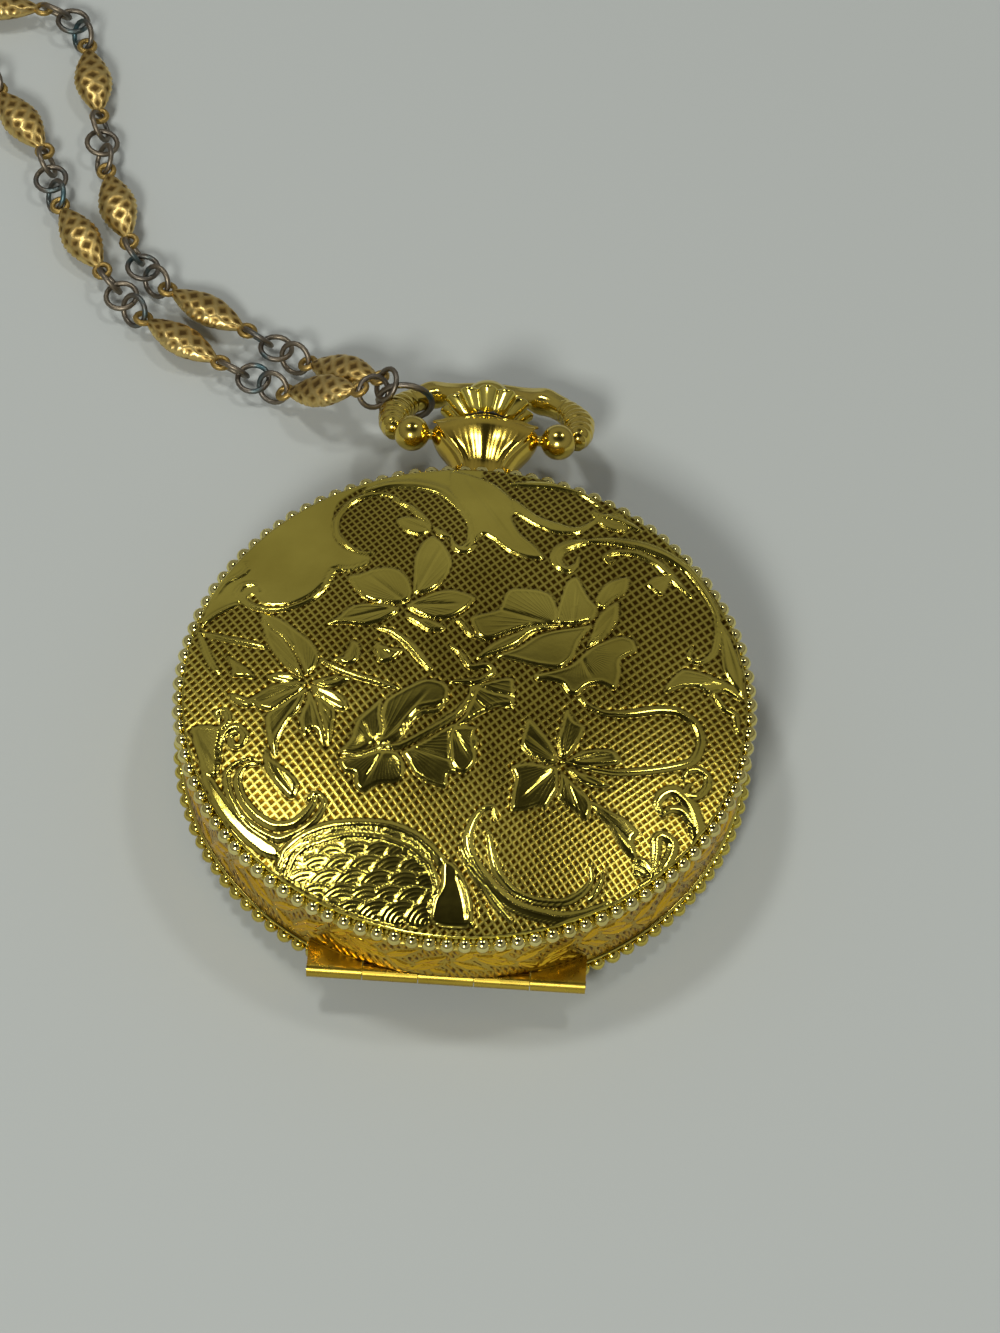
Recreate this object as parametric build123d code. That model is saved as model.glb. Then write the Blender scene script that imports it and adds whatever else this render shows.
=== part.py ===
from build123d import *
import math
import os

os.makedirs("parts", exist_ok=True)

# Case, lying on its front lid: the lid rests at z = 0, +Z is the engraved back, +Y the pendant
bead_count = 104
bead_depth = 0.36
bead_band_h = 0.9
band_inset = 0.6
band_wall = 3.55
cover_dome_h = 1.7
cover_rim_h = 1.2
band_h = 3.7
cover_wall = 0.4
rest_flat_d = 12.0
cover_bore_inset = 1.07
lid_bore_inset = 1.3
seam_gap = 0.08
snap_ring_inset = 1.1
snap_ring_wall = 0.6
snap_ring_h = 0.7

# Space for the movement inside the case
movement_side_gap = 0.9
spring_groove_inset = 1.65
spring_groove_h = 1.5
case_spring_wall_share = 0.35
case_spring_h_share = 0.6
bezel_seat_inset = 1.4
bezel_seat_depth = 0.4
plate_margin = 0.4
plate_t = 1.4
bridge_t = 0.65
bridge_space = 1.75
dial_side_gap = 0.5
dial_t = 0.4
dial_gap = 0.6
ring_lip = 0.05
fit_gap = 0.04
small_gap = 0.1

# Glass, hands and motion work
crystal_overlap = 0.1
crystal_t = 0.35
crystal_rise = 1.0
crystal_lid_gap = 0.22
bezel_wall = 0.68
bezel_sight_lip = 0.4
hand_t = 0.15
minute_hand_l = 9.4
hour_hand_l = 6.6
hand_w = 0.9
hub_wall = 0.35
minute_hand_drop = 0.73
hour_hand_drop = 0.43

# Hinge at six o'clock
hinge_l = 16.8
hinge_inset = 0.35
knuckle_d = 1.0
hinge_pin_d = 0.5
knuckle_count = 5
knuckle_gap = 0.06
hinge_relief = 0.6

# Pendant, bow and crown
pendant_waist_out = 1.85
pendant_wide_out = 4.65
pendant_top_out = 5.4
pendant_foot_w = 6.6
pendant_waist_w = 4.0
pendant_wide_w = 6.9
pendant_foot_h = 3.5
pendant_waist_h = 3.2
pendant_wide_h = 4.6
pendant_top_w = 6.2
pendant_top_h = 4.2
tube_d = 2.4
tube_out = 1.2
stem_d = 0.9
bow_pivot_out = 4.85
bow_ball_d = 2.3
bow_ball_spread = 9.4
bow_stub_d = 0.7
bow_stub_l = 0.8
bow_w = 13.6
bow_reach = 7.2
bow_arm_w = 1.5
bow_t = 1.1
bow_rise = 1.5
bow_tilt_deg = 24.0
bump_d = 1.75
crown_d = 6.0
crown_l = 3.6
crown_gap = 0.2
crown_lobes = 12
crown_lobe_depth = 0.3
crown_dome_d = 3.0
crown_socket_d = 3.5
crown_socket_depth = 1.5
gasket_wall = 0.42
gasket_l = 0.5

# Movement: module and tooth counts of each mesh, wheel and pinion sizes
barrel_teeth = 80
centre_teeth = 80
third_teeth = 75
fourth_teeth = 80
train_leaves = 10
escape_leaves = 8
escape_teeth = 15
barrel_module = 0.12
centre_module = 0.095
third_module = 0.085
fourth_module = 0.07
winding_module = 0.2648
crown_wheel_teeth = 21
ratchet_teeth = 34
winding_teeth = 12
minute_module = 0.125
hour_module = 0.1
cannon_leaves = 12
minute_wheel_teeth = 36
minute_leaves = 12
hour_wheel_teeth = 48
tooth_tip_share = 0.55
tooth_root_share = 0.95
wheel_t = 0.17
arbor_r = 0.28
pivot_r = 0.12
pivot_l = 0.35
centre_arbor_r = 0.35
jewel_r = 0.55
jewel_t = 0.3
barrel_drum_r = 4.55
barrel_drum_h = 1.0
escape_r = 2.2
escape_root_r = 1.65
pallet_distance = 2.8
balance_r = 4.2
balance_rim_w = 0.5
balance_rim_h = 0.35
roller_r = 0.9
winding_pinion_r = 1.42
winding_pinion_out = 2.708
winding_pinion_l = 1.1
clutch_r = 1.0
clutch_step = 1.92
clutch_l = 0.85
well_margin = 0.6
stem_tail = 1.38
screw_r = 0.4
screw_head_r = 0.75
screw_head_h = 0.35
pillar_r = 0.8
pillar_margin = 1.15
hairspring_turns = 3
hairspring_w = 0.12
hairspring_pitch = 0.648
click_tip_turn = 20.0
split_x = -1.4
split_y = 6.5
split_gap = 0.15

# Places of the movement, seen from the back
barrel_angle = 160.0
third_angle = 35.0
fourth_angle = -60.0
escape_angle = -20.0
balance_angle = -65.0
balance_out = 8.3
crown_wheel_x = -0.6
click_angle = 150.0
click_reach = 1.2
lever_x = 2.9
lever_back = 0.98
lever_r = 0.6
lever_nose_x = 0.65
lever_nose_back = 1.38
lever_w = 0.45
lever_t = 0.3
pillar_deg_barrel = (125.0, 200.0, 62.0)
pillar_deg_train = (28.0, -22.0)
pillar_deg_cock = (-105.0,)

# Chain, doubled through the bow: filigree links joined by three rings
ring_d = 2.4
ring_wire = 0.36
bow_ring_d = 3.9
bow_ring_wire = 0.42
ring_pitch = 1.5
link_l = 6.3
link_w = 2.3
link_t = 1.5
link_eye_d = 0.9
link_eye_wall = 0.25
link_eye_t = 0.4
chain_d = 2.4
chain_lie = 1.25
coil_x = -45.5
coil_y = 74.7
coil_r = 15.3
coil_pitch = 2.9
coil_turns = 2
coil_layer = 2.85
coil_exit_deg = 250.0
fall_start = 7.0
fall_end = 12.5
ring_reach = 1.0
upright_deg = 62.0
arc_share = 0.45
halvings = 30
coil_samples = 1200
link_count_upper = 5
link_count_lower = 4
bow_ring_at = (-5.35, 25.85, 3.25)
upper_hold_deg = 125.0
upper_ring_roll = 50.0
lower_hold_deg = 155.0
lower_ring_roll = 45.0
minute_hand_aim = 60.0
hour_hand_aim = 215.0
route_pivot_y = 22.2
# Points that the two strands follow, from the first link's eye near the bow to the coil
upper_route = (
    (-7.1, 27.0, 4.1), (-11.5, 29.7, chain_lie), (-13.9, 30.9, chain_lie), (-17.0, 33.0, chain_lie),
    (-22.3, 35.6, chain_lie), (-24.3, 38.2, chain_lie), (-26.7, 44.8, chain_lie), (-27.4, 48.4, chain_lie),
    (-28.3, 53.6, chain_lie), (-29.3, 56.8, chain_lie), (-30.5, 58.7, chain_lie), (-32.2, 59.4, chain_lie),
    (-40.0, 59.4, chain_lie),
)
lower_route = (
    (-8.3, 25.6, 4.6), (-12.3, 27.0, chain_lie), (-15.0, 28.3, chain_lie), (-17.7, 29.6, chain_lie),
    (-23.1, 32.6, chain_lie), (-25.7, 36.0, chain_lie), (-29.2, 41.1, chain_lie), (-30.5, 44.5, chain_lie),
    (-31.3, 48.0, chain_lie), (-38.4, 56.0, chain_lie),
)

# Radii and places worked out from the movement outward
movement_r = balance_out + balance_r + plate_margin
movement_bore_r = movement_r + movement_side_gap
band_r = movement_bore_r + band_wall
rim_r = band_r + band_inset
cover_bore_r = band_r - cover_bore_inset
lid_bore_r = band_r - lid_bore_inset
snap_ring_r = band_r - snap_ring_inset
bezel_seat_r = band_r - bezel_seat_inset
spring_groove_r = band_r - spring_groove_inset
crystal_r = movement_bore_r + crystal_overlap
dial_r = movement_bore_r - dial_side_gap
bezel_sight_r = movement_bore_r - bezel_sight_lip
pillar_circle_r = movement_r - pillar_margin
hinge_y = hinge_inset - band_r
pendant_waist_y = band_r + pendant_waist_out
pendant_wide_y = band_r + pendant_wide_out
pendant_top_y = band_r + pendant_top_out
bow_pivot_y = band_r + bow_pivot_out
chain_shift = bow_pivot_y - route_pivot_y
reach_all = 2 * rim_r

# Heights worked out from the case sizes
seam_z = cover_dome_h + cover_rim_h
band_top_z = seam_z + band_h
back_top_z = band_top_z + cover_rim_h + cover_dome_h
stem_z = seam_z + band_h / 2
plate_z = stem_z - plate_t
bridge_z = stem_z + bridge_space
bridge_top_z = bridge_z + bridge_t
dial_back_z = plate_z - dial_gap
dial_face_z = dial_back_z - dial_t
hinge_z = seam_z - seam_gap / 2
crown_y = pendant_top_y + crown_gap
minute_hand_z = dial_face_z - minute_hand_drop
hour_hand_z = dial_face_z - hour_hand_drop


def disc(radius, z_low, z_high, x=0.0, y=0.0):
    """An upright round disc between two heights."""
    height = z_high - z_low
    return Pos(x, y, z_low + height / 2) * Cylinder(radius, height)


def tube(outer, inner, z_low, z_high, x=0.0, y=0.0):
    """A flat ring between two heights."""
    hole = disc(inner, z_low - small_gap, z_high + small_gap, x, y)
    return disc(outer, z_low, z_high, x, y) - hole


def block(x0, x1, y0, y1, z0, z1):
    """A block between two corners."""
    middle = Pos((x0 + x1) / 2, (y0 + y1) / 2, (z0 + z1) / 2)
    return middle * Box(x1 - x0, y1 - y0, z1 - z0)


def rod_y(radius, y0, y1, x=0.0, z=stem_z):
    """A round rod along Y."""
    return Pos(x, (y0 + y1) / 2, z) * Rot(90, 0, 0) * Cylinder(radius, y1 - y0)


def rod_x(radius, x0, x1, y=0.0, z=0.0):
    """A round rod along X."""
    return Pos((x0 + x1) / 2, y, z) * Rot(0, 90, 0) * Cylinder(radius, x1 - x0)


def star_points(tip_r, root_r, count, turn=0.0):
    """Corners of a ring of pointed teeth, one tip and one root for each."""
    points = []
    for index in range(2 * count):
        radius = root_r if index % 2 else tip_r
        angle = turn + math.pi * index / count
        points.append((radius * math.cos(angle), radius * math.sin(angle)))
    return points


def star(tip_r, root_r, count, z_low, z_high, centre=(0.0, 0.0), turn=0.0):
    """A toothed disc with pointed teeth, its first tip at the angle turn."""
    outline = Polyline(*star_points(tip_r, root_r, count, turn), close=True)
    height = z_high - z_low
    return Pos(centre[0], centre[1], z_low) * extrude(make_face(outline), amount=height)


def gear(module, count, z_low, z_high, centre=(0.0, 0.0), turn=0.0):
    """A gear by its module and tooth count."""
    pitch_r = module * count / 2
    tip_r = pitch_r + module * tooth_tip_share
    root_r = pitch_r - module * tooth_root_share
    return star(tip_r, root_r, count, z_low, z_high, centre, turn)


def turned(points):
    """A solid of revolution about Z from points of radius and height."""
    outline = Polyline(*[(r, 0.0, z) for r, z in points], close=True)
    return revolve(make_face(outline), Axis.Z)


def toward(centre, angle_deg, distance):
    """A point at a distance and angle from a centre."""
    angle = math.radians(angle_deg)
    return (centre[0] + distance * math.cos(angle), centre[1] + distance * math.sin(angle))


def bearing(a, b):
    """The angle from one point to another, in radians."""
    return math.atan2(b[1] - a[1], b[0] - a[0])


def meshed_turn(centre, other, count):
    """The turn that puts a gap of this gear on the line to the other gear."""
    return bearing(centre, other) + math.pi / count


# Places of the wheels worked out from their angles and meshes
centre_at = (0.0, 0.0)
barrel_at = toward(centre_at, barrel_angle, barrel_module * (barrel_teeth + train_leaves) / 2)
third_at = toward(centre_at, third_angle, centre_module * (centre_teeth + train_leaves) / 2)
fourth_at = toward(third_at, fourth_angle, third_module * (third_teeth + train_leaves) / 2)
escape_at = toward(fourth_at, escape_angle, fourth_module * (fourth_teeth + escape_leaves) / 2)
balance_at = toward(centre_at, balance_angle, balance_out)
pallet_at = toward(escape_at, math.degrees(bearing(escape_at, balance_at)), pallet_distance)
minute_wheel_at = (0.0, minute_module * (cannon_leaves + minute_wheel_teeth) / 2)
crown_wheel_r = winding_module * crown_wheel_teeth / 2
ratchet_r = winding_module * ratchet_teeth / 2
crown_wheel_y = barrel_at[1] + math.sqrt(
    (crown_wheel_r + ratchet_r) ** 2 - (crown_wheel_x - barrel_at[0]) ** 2
)
crown_wheel_at = (crown_wheel_x, crown_wheel_y)
click_at = toward(barrel_at, click_angle, ratchet_r + click_reach)
winding_pinion_y = crown_wheel_y + winding_pinion_out
clutch_y = winding_pinion_y - clutch_step
stem_end_y = clutch_y - stem_tail
lever_y = clutch_y - lever_back
lever_nose_y = clutch_y - lever_nose_back
barrel_low = stem_z + 0.2 * barrel_drum_h
barrel_high = barrel_low + barrel_drum_h
centre_wheel_low = barrel_high + small_gap / 2
keyless_low = centre_wheel_low + wheel_t + small_gap
keyless_high = bridge_z - small_gap / 2
third_wheel_low = stem_z + bridge_space * 0.37
fourth_wheel_low = barrel_low
balance_low = stem_z + bridge_space * 0.6
jewel_places = (third_at, fourth_at, escape_at, pallet_at, balance_at)
cannon_r = centre_arbor_r + fit_gap + hub_wall * 0.65
pipe_in_r = cannon_r + fit_gap
pipe_r = pipe_in_r + hub_wall * 0.5
motion_high = plate_z - ring_lip
hour_wheel_low = dial_back_z + ring_lip


def dome(flat_r, edge_r, low, rise, steps):
    """Points of a shallow dome: a flat middle, then a height that grows with the square."""
    points = []
    for index in range(steps + 1):
        share = index / steps
        points.append((flat_r + (edge_r - flat_r) * share, low + rise * share * share))
    return points


def cover_shell(seam_h, bore_r):
    """A thin domed cover, its flat middle down, with a beaded rim and an open seam."""
    flat_r = rest_flat_d / 2
    dome_steps = 6
    rim_inner_r = rim_r - bead_depth
    outer = dome(flat_r, rim_inner_r, 0.0, cover_dome_h, dome_steps)
    inner_rise = cover_dome_h * ((bore_r - flat_r) / (rim_inner_r - flat_r)) ** 2
    inner = dome(flat_r, bore_r, cover_wall, inner_rise, dome_steps)
    profile = [(0.0, 0.0)] + outer + [(rim_inner_r, seam_h), (bore_r, seam_h)]
    profile += inner[::-1] + [(0.0, cover_wall)]
    shell = turned(profile)
    bead_low = cover_dome_h + (cover_rim_h - bead_band_h) / 2
    beads = star(rim_r, rim_inner_r - fit_gap, bead_count, bead_low, bead_low + bead_band_h)
    beads -= disc((rim_inner_r + bore_r) / 2, 0.0, back_top_z)
    return shell + beads


def knuckles(first, side, inner_r):
    """Every second hinge knuckle, with its web to the case or the lid."""
    web_end = small_gap - math.sqrt(band_r ** 2 - (hinge_l / 2) ** 2)
    pitch = hinge_l / knuckle_count
    radius = knuckle_d / 2
    parts = []
    for index in range(first, knuckle_count, 2):
        x0 = -hinge_l / 2 + index * pitch + knuckle_gap / 2
        x1 = x0 + pitch - knuckle_gap
        web_low = hinge_z + side * seam_gap / 2
        web_high = hinge_z + side * radius
        low = min(web_low, web_high)
        high = max(web_low, web_high)
        web = block(x0, x1, hinge_y, web_end, low, high) - disc(inner_r, 0.0, back_top_z)
        parts.append(rod_x(radius, x0, x1, hinge_y, hinge_z) + web)
    return parts


def hinge_space(side):
    """What is cut from the case or the lid so that the knuckles can turn."""
    half = hinge_l / 2 + small_gap
    depth = knuckle_d / 2 + small_gap
    z0 = hinge_z - depth if side > 0 else -small_gap
    z1 = hinge_z + depth if side > 0 else seam_z + small_gap
    return block(-half, half, -reach_all, hinge_y + hinge_relief, z0, z1)


def make_case_middle():
    seat_z = seam_z + bezel_seat_depth
    groove_top = seat_z + spring_groove_h
    ring_in = snap_ring_r - snap_ring_wall
    snap_z = band_top_z + snap_ring_h
    middle = turned([
        (band_r, seam_z), (band_r, band_top_z), (snap_ring_r, band_top_z), (snap_ring_r, snap_z),
        (ring_in, snap_z), (ring_in, band_top_z), (movement_bore_r, band_top_z),
        (movement_bore_r, groove_top), (spring_groove_r, groove_top), (spring_groove_r, seat_z),
        (bezel_seat_r, seat_z), (bezel_seat_r, seam_z),
    ])
    middle -= hinge_space(1)
    for knuckle in knuckles(0, 1, bezel_seat_r):
        middle += knuckle
    middle -= rod_x(hinge_pin_d / 2, -hinge_l, hinge_l, hinge_y, hinge_z)
    middle -= rod_y(tube_d / 2, 0.0, reach_all)
    return middle


def make_back_cover():
    cover = cover_shell(cover_dome_h + cover_rim_h, cover_bore_r)
    return Pos(0, 0, back_top_z) * Rot(180, 0, 0) * cover


def make_front_lid():
    lid = cover_shell(seam_z - seam_gap, lid_bore_r)
    lid -= hinge_space(-1)
    for knuckle in knuckles(1, -1, lid_bore_r):
        lid += knuckle
    lid -= rod_x(hinge_pin_d / 2 + fit_gap, -hinge_l, hinge_l, hinge_y, hinge_z)
    return lid


def make_hinge_pin():
    return rod_x(hinge_pin_d / 2, -hinge_l / 2, hinge_l / 2, hinge_y, hinge_z)


def case_spring(start_deg, sweep_deg):
    """A flat bent spring lying in the groove round the movement."""
    wall = case_spring_wall_share * (spring_groove_r - movement_bore_r)
    outer = spring_groove_r - small_gap
    low = seam_z + bezel_seat_depth + small_gap
    high = low + spring_groove_h * case_spring_h_share
    band = tube(outer, outer - wall, low, high)
    start = Rot(0, 0, start_deg)
    wedge_r = reach_all
    steps = 4
    corners = [(0.0, 0.0)]
    for index in range(steps + 1):
        corners.append(toward((0.0, 0.0), sweep_deg * index / steps, wedge_r))
    wedge = extrude(make_face(Polyline(*corners, close=True)), amount=back_top_z)
    return (start * wedge) & band


def ellipse_points(width, height, sides=16):
    """Corners of an upright oval section."""
    points = []
    for index in range(sides):
        angle = 2 * math.pi * index / sides
        points.append((width / 2 * math.cos(angle), height / 2 * math.sin(angle)))
    return points


def oval_face(width, height, y, sides=16):
    """An oval section square to Y at the height of the winding stem."""
    points = [(x, y, stem_z + z) for x, z in ellipse_points(width, height, sides)]
    return make_face(Polyline(*points, close=True))


def make_pendant_neck():
    sections = [
        oval_face(pendant_foot_w, pendant_foot_h, band_r * 0.95),
        oval_face(pendant_waist_w, pendant_waist_h, pendant_waist_y),
        oval_face(pendant_wide_w, pendant_wide_h, pendant_wide_y),
        oval_face(pendant_top_w, pendant_top_h, pendant_top_y),
    ]
    neck = loft(sections, ruled=True)
    neck -= disc(band_r, 0.0, back_top_z)
    neck -= rod_y(tube_d / 2, 0.0, reach_all)
    stub_r = bow_stub_d / 2 + fit_gap
    reach = bow_ball_spread / 2 - bow_stub_l - bow_ball_d / 2
    for side in (-1, 1):
        far = side * bow_ball_spread / 2
        near = side * (reach - small_gap)
        neck -= rod_x(stub_r, min(near, far), max(near, far), bow_pivot_y, stem_z)
    return neck


def make_pendant_tube():
    outer = tube_d / 2
    inner = stem_d / 2 + fit_gap
    start = movement_bore_r
    end = pendant_top_y + tube_out
    return rod_y(outer, start, end) - rod_y(inner, 0.0, reach_all)


def crown_face(radius, y, depth):
    """A fluted section of the crown."""
    points = star_points(radius, radius - depth, crown_lobes)
    return make_face(Polyline(*[(a, y, stem_z + b) for a, b in points], close=True))


def make_crown():
    radius = crown_d / 2
    sections = [
        crown_face(radius * 0.9, crown_y, crown_lobe_depth),
        crown_face(radius, crown_y + crown_l * 0.3, crown_lobe_depth),
        crown_face(radius * 0.86, crown_y + crown_l * 0.68, crown_lobe_depth),
        crown_face(crown_dome_d / 2, crown_y + crown_l * 0.88, crown_lobe_depth * 0.3),
        crown_face(crown_dome_d * 0.3, crown_y + crown_l, crown_lobe_depth * 0.1),
    ]
    crown = loft(sections, ruled=True)
    crown -= rod_y(crown_socket_d / 2, crown_y - small_gap, crown_y + crown_socket_depth)
    crown -= rod_y(stem_d / 2, 0.0, crown_y + crown_l * 0.75)
    return crown


def make_winding_stem():
    return rod_y(stem_d / 2, stem_end_y, crown_y + crown_l * 0.75)


def make_crown_gasket():
    inner = tube_d / 2 + fit_gap
    start = crown_y + fit_gap
    ring = rod_y(inner + gasket_wall, start, start + gasket_l)
    return ring - rod_y(inner, 0.0, reach_all)


def make_bow():
    """The bow in its own plane, then turned down about its pivots."""
    half_t = bow_t / 2
    outer_a = bow_w / 2
    outer_b = bow_reach - bow_rise
    frame = extrude(Ellipse(outer_a, outer_b).face(), amount=half_t, both=True)
    inner = Ellipse(outer_a - bow_arm_w, outer_b - bow_arm_w).face()
    frame -= extrude(inner, amount=bow_t, both=True)
    frame = Pos(0, bow_rise, 0) * frame
    cut_y = -0.3 * bow_ball_d
    frame -= block(-bow_w, bow_w, -bow_w, cut_y, -bow_t, bow_t)
    for side in (-1, 1):
        corner = (side * outer_a * 0.6, bow_rise + outer_b * 0.83)
        shoulder = (side * (outer_a - bump_d * 0.15), bow_rise + outer_b * 0.2)
        for x, y in (corner, shoulder):
            frame += Pos(x, y, 0) * Cylinder(bump_d / 2, bow_t)
        ball_x = side * bow_ball_spread / 2
        frame += Pos(ball_x, 0, 0) * Sphere(bow_ball_d / 2)
        near = side * (bow_ball_spread / 2 - bow_ball_d / 2 - bow_stub_l)
        frame += rod_x(bow_stub_d / 2, min(near, ball_x), max(near, ball_x))
    return Pos(0, bow_pivot_y, stem_z) * Rot(-bow_tilt_deg, 0, 0) * frame


def make_crystal():
    apex = cover_wall + crystal_lid_gap
    steps = 5
    outer = dome(0.0, crystal_r, apex, crystal_rise, steps)
    inner = dome(0.0, crystal_r, apex + crystal_t, crystal_rise, steps)
    return turned(outer + inner[::-1])


def make_bezel():
    edge_r = crystal_r + fit_gap / 2
    low = cover_wall + crystal_lid_gap + crystal_rise
    seat = low + crystal_t + fit_gap
    outer_r = bezel_seat_r - fit_gap
    top = seam_z + bezel_seat_depth - fit_gap / 2
    inner_r = movement_bore_r + fit_gap
    step_z = dial_back_z + fit_gap / 2
    return turned([
        (bezel_sight_r, seat), (edge_r, seat), (edge_r, low), (edge_r + bezel_wall, low),
        (outer_r, low + bezel_wall), (outer_r, top), (inner_r, top), (inner_r, step_z),
        (bezel_sight_r, step_z),
    ])


def make_dial():
    hole = hour_module * hour_wheel_teeth / 2 * 0.375
    return disc(dial_r, dial_face_z, dial_back_z) - disc(hole, 0.0, back_top_z)


def make_movement_ring():
    outer = movement_bore_r - ring_lip
    inner = movement_r + ring_lip
    ring = tube(outer, inner, dial_back_z + ring_lip, bridge_z)
    return ring - rod_y(stem_d / 2 + small_gap, 0.0, reach_all)


def well_ends():
    """The opening of the mainplate for the clutch and the winding pinion."""
    start = clutch_y - clutch_l / 2 - well_margin
    end = winding_pinion_y + winding_pinion_l / 2 + small_gap
    return start, end


def make_mainplate():
    plate = disc(movement_r, plate_z, stem_z)
    start, end = well_ends()
    half = winding_pinion_r + small_gap * 2
    plate -= block(-half, half, start, end, 0.0, back_top_z)
    plate -= rod_y(stem_d / 2 + fit_gap, stem_end_y - small_gap * 4, reach_all)
    plate -= disc(centre_arbor_r + fit_gap, 0.0, back_top_z)
    for x, y in jewel_places:
        plate -= disc(jewel_r, 0.0, back_top_z, x, y)
    for angle in pillar_deg_barrel + pillar_deg_train + pillar_deg_cock:
        x, y = toward((0.0, 0.0), angle, pillar_circle_r)
        plate -= disc(screw_r, plate_z + plate_t / 2, back_top_z, x, y)
    stud_x, stud_y = minute_wheel_at
    plate += disc(arbor_r, dial_back_z + ring_lip, plate_z + plate_t / 2, stud_x, stud_y)
    return plate


def finish_bridge(outline_face, pillar_degs, jewels_here):
    """A bridge plate cut to the movement's edge, on pillars, with its holes."""
    plate = Pos(0, 0, bridge_z) * extrude(outline_face, amount=bridge_t)
    plate &= disc(movement_r - small_gap, bridge_z, bridge_top_z)
    for angle in pillar_degs:
        x, y = toward((0.0, 0.0), angle, pillar_circle_r)
        plate += disc(pillar_r, stem_z, bridge_z, x, y)
    for angle in pillar_degs:
        x, y = toward((0.0, 0.0), angle, pillar_circle_r)
        plate -= disc(screw_r, 0.0, back_top_z, x, y)
    for x, y in jewels_here:
        plate -= disc(jewel_r, bridge_z - small_gap, back_top_z, x, y)
    return plate


def make_barrel_bridge():
    edge = reach_all
    low_y = toward((0.0, 0.0), pillar_deg_barrel[1], pillar_circle_r)[1] - pillar_r * 1.4
    outline = Polyline(
        (-edge, low_y), (split_x, low_y), (split_x, split_y), (edge, split_y), (edge, edge), (-edge, edge),
        close=True,
    )
    bridge = finish_bridge(make_face(outline), pillar_deg_barrel, ())
    bridge -= disc(arbor_r + fit_gap, 0.0, back_top_z, barrel_at[0], barrel_at[1])
    bridge += disc(arbor_r * 1.6, keyless_low, bridge_top_z, crown_wheel_at[0], crown_wheel_at[1])
    bridge += disc(arbor_r, keyless_low, bridge_top_z, click_at[0], click_at[1])
    return bridge


def make_train_bridge():
    edge = reach_all
    x0 = split_x + split_gap
    y1 = split_y - split_gap
    low_y = fourth_at[1] - jewel_r * 4
    lobe_x = pallet_at[0] - jewel_r * 3
    lobe_y = pallet_at[1] - jewel_r * 3
    outline = Polyline(
        (x0, low_y), (lobe_x, low_y), (lobe_x, lobe_y), (edge, lobe_y), (edge, y1), (x0, y1),
        close=True,
    )
    places = (third_at, fourth_at, escape_at, pallet_at)
    bridge = finish_bridge(make_face(outline), pillar_deg_train, places)
    return bridge - disc(centre_arbor_r + fit_gap, 0.0, back_top_z)


def make_balance_cock():
    foot = toward((0.0, 0.0), pillar_deg_cock[0], pillar_circle_r)
    half = jewel_r * 2.4
    angle = math.degrees(bearing(foot, balance_at))
    corners = [
        toward(foot, angle + 90, half), toward(foot, angle - 90, half),
        toward(balance_at, angle - 90, half * 0.8), toward(balance_at, angle, half),
        toward(balance_at, angle + 90, half * 0.8),
    ]
    outline = Polyline(*corners, close=True)
    return finish_bridge(make_face(outline), pillar_deg_cock, (balance_at,))


def make_bridge_screws():
    screws = []
    for angle in pillar_deg_barrel + pillar_deg_train + pillar_deg_cock:
        x, y = toward((0.0, 0.0), angle, pillar_circle_r)
        shank = disc(screw_r, plate_z + plate_t / 2, bridge_top_z, x, y)
        screws.append(shank + disc(screw_head_r, bridge_top_z, bridge_top_z + screw_head_h, x, y))
    return Compound(children=screws)


def make_jewels():
    jewels = []
    for x, y in jewel_places:
        for low in (stem_z - jewel_t, bridge_z):
            jewels.append(tube(jewel_r, pivot_r + fit_gap, low, low + jewel_t, x, y))
    return Compound(children=jewels)


def arbor(centre, low=None, high=None):
    """A wheel's arbor with a thin pivot at each end, in the jewels."""
    foot = stem_z + small_gap if low is None else low
    head = bridge_z - small_gap if high is None else high
    body = disc(arbor_r, foot, head, centre[0], centre[1])
    return body + disc(pivot_r, foot - pivot_l, head + pivot_l, centre[0], centre[1])


def make_mainspring_barrel():
    x, y = barrel_at
    turn = bearing(barrel_at, centre_at)
    drum = disc(barrel_drum_r, barrel_low, barrel_high, x, y)
    low = barrel_low + small_gap / 2
    teeth = gear(barrel_module, barrel_teeth, low, barrel_low + wheel_t * 2, barrel_at, turn)
    return drum + teeth


def make_ratchet_wheel():
    x, y = barrel_at
    turn = bearing(barrel_at, crown_wheel_at)
    wheel = gear(winding_module, ratchet_teeth, keyless_low, keyless_high, barrel_at, turn)
    return wheel + disc(arbor_r, barrel_high + small_gap / 4, bridge_top_z, x, y)


def make_crown_wheel():
    x, y = crown_wheel_at
    turn = meshed_turn(crown_wheel_at, barrel_at, crown_wheel_teeth)
    wheel = gear(winding_module, crown_wheel_teeth, keyless_low, keyless_high, crown_wheel_at, turn)
    return wheel - disc(arbor_r * 1.6 + fit_gap, 0.0, back_top_z, x, y)


def make_click():
    """The pawl that lets the ratchet wheel turn one way only."""
    tip_angle = click_angle - click_tip_turn
    tip = toward(barrel_at, tip_angle, ratchet_r + winding_module * tooth_tip_share + small_gap)
    aim = math.degrees(bearing(click_at, tip))
    half = arbor_r * 1.5
    outline = Polyline(toward(click_at, aim + 90, half), toward(click_at, aim - 90, half), tip, close=True)
    height = keyless_high - keyless_low
    pawl = Pos(0, 0, keyless_low) * extrude(make_face(outline), amount=height)
    pawl += disc(arbor_r * 2, keyless_low, keyless_high, click_at[0], click_at[1])
    return pawl - disc(arbor_r + fit_gap, 0.0, back_top_z, click_at[0], click_at[1])


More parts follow.
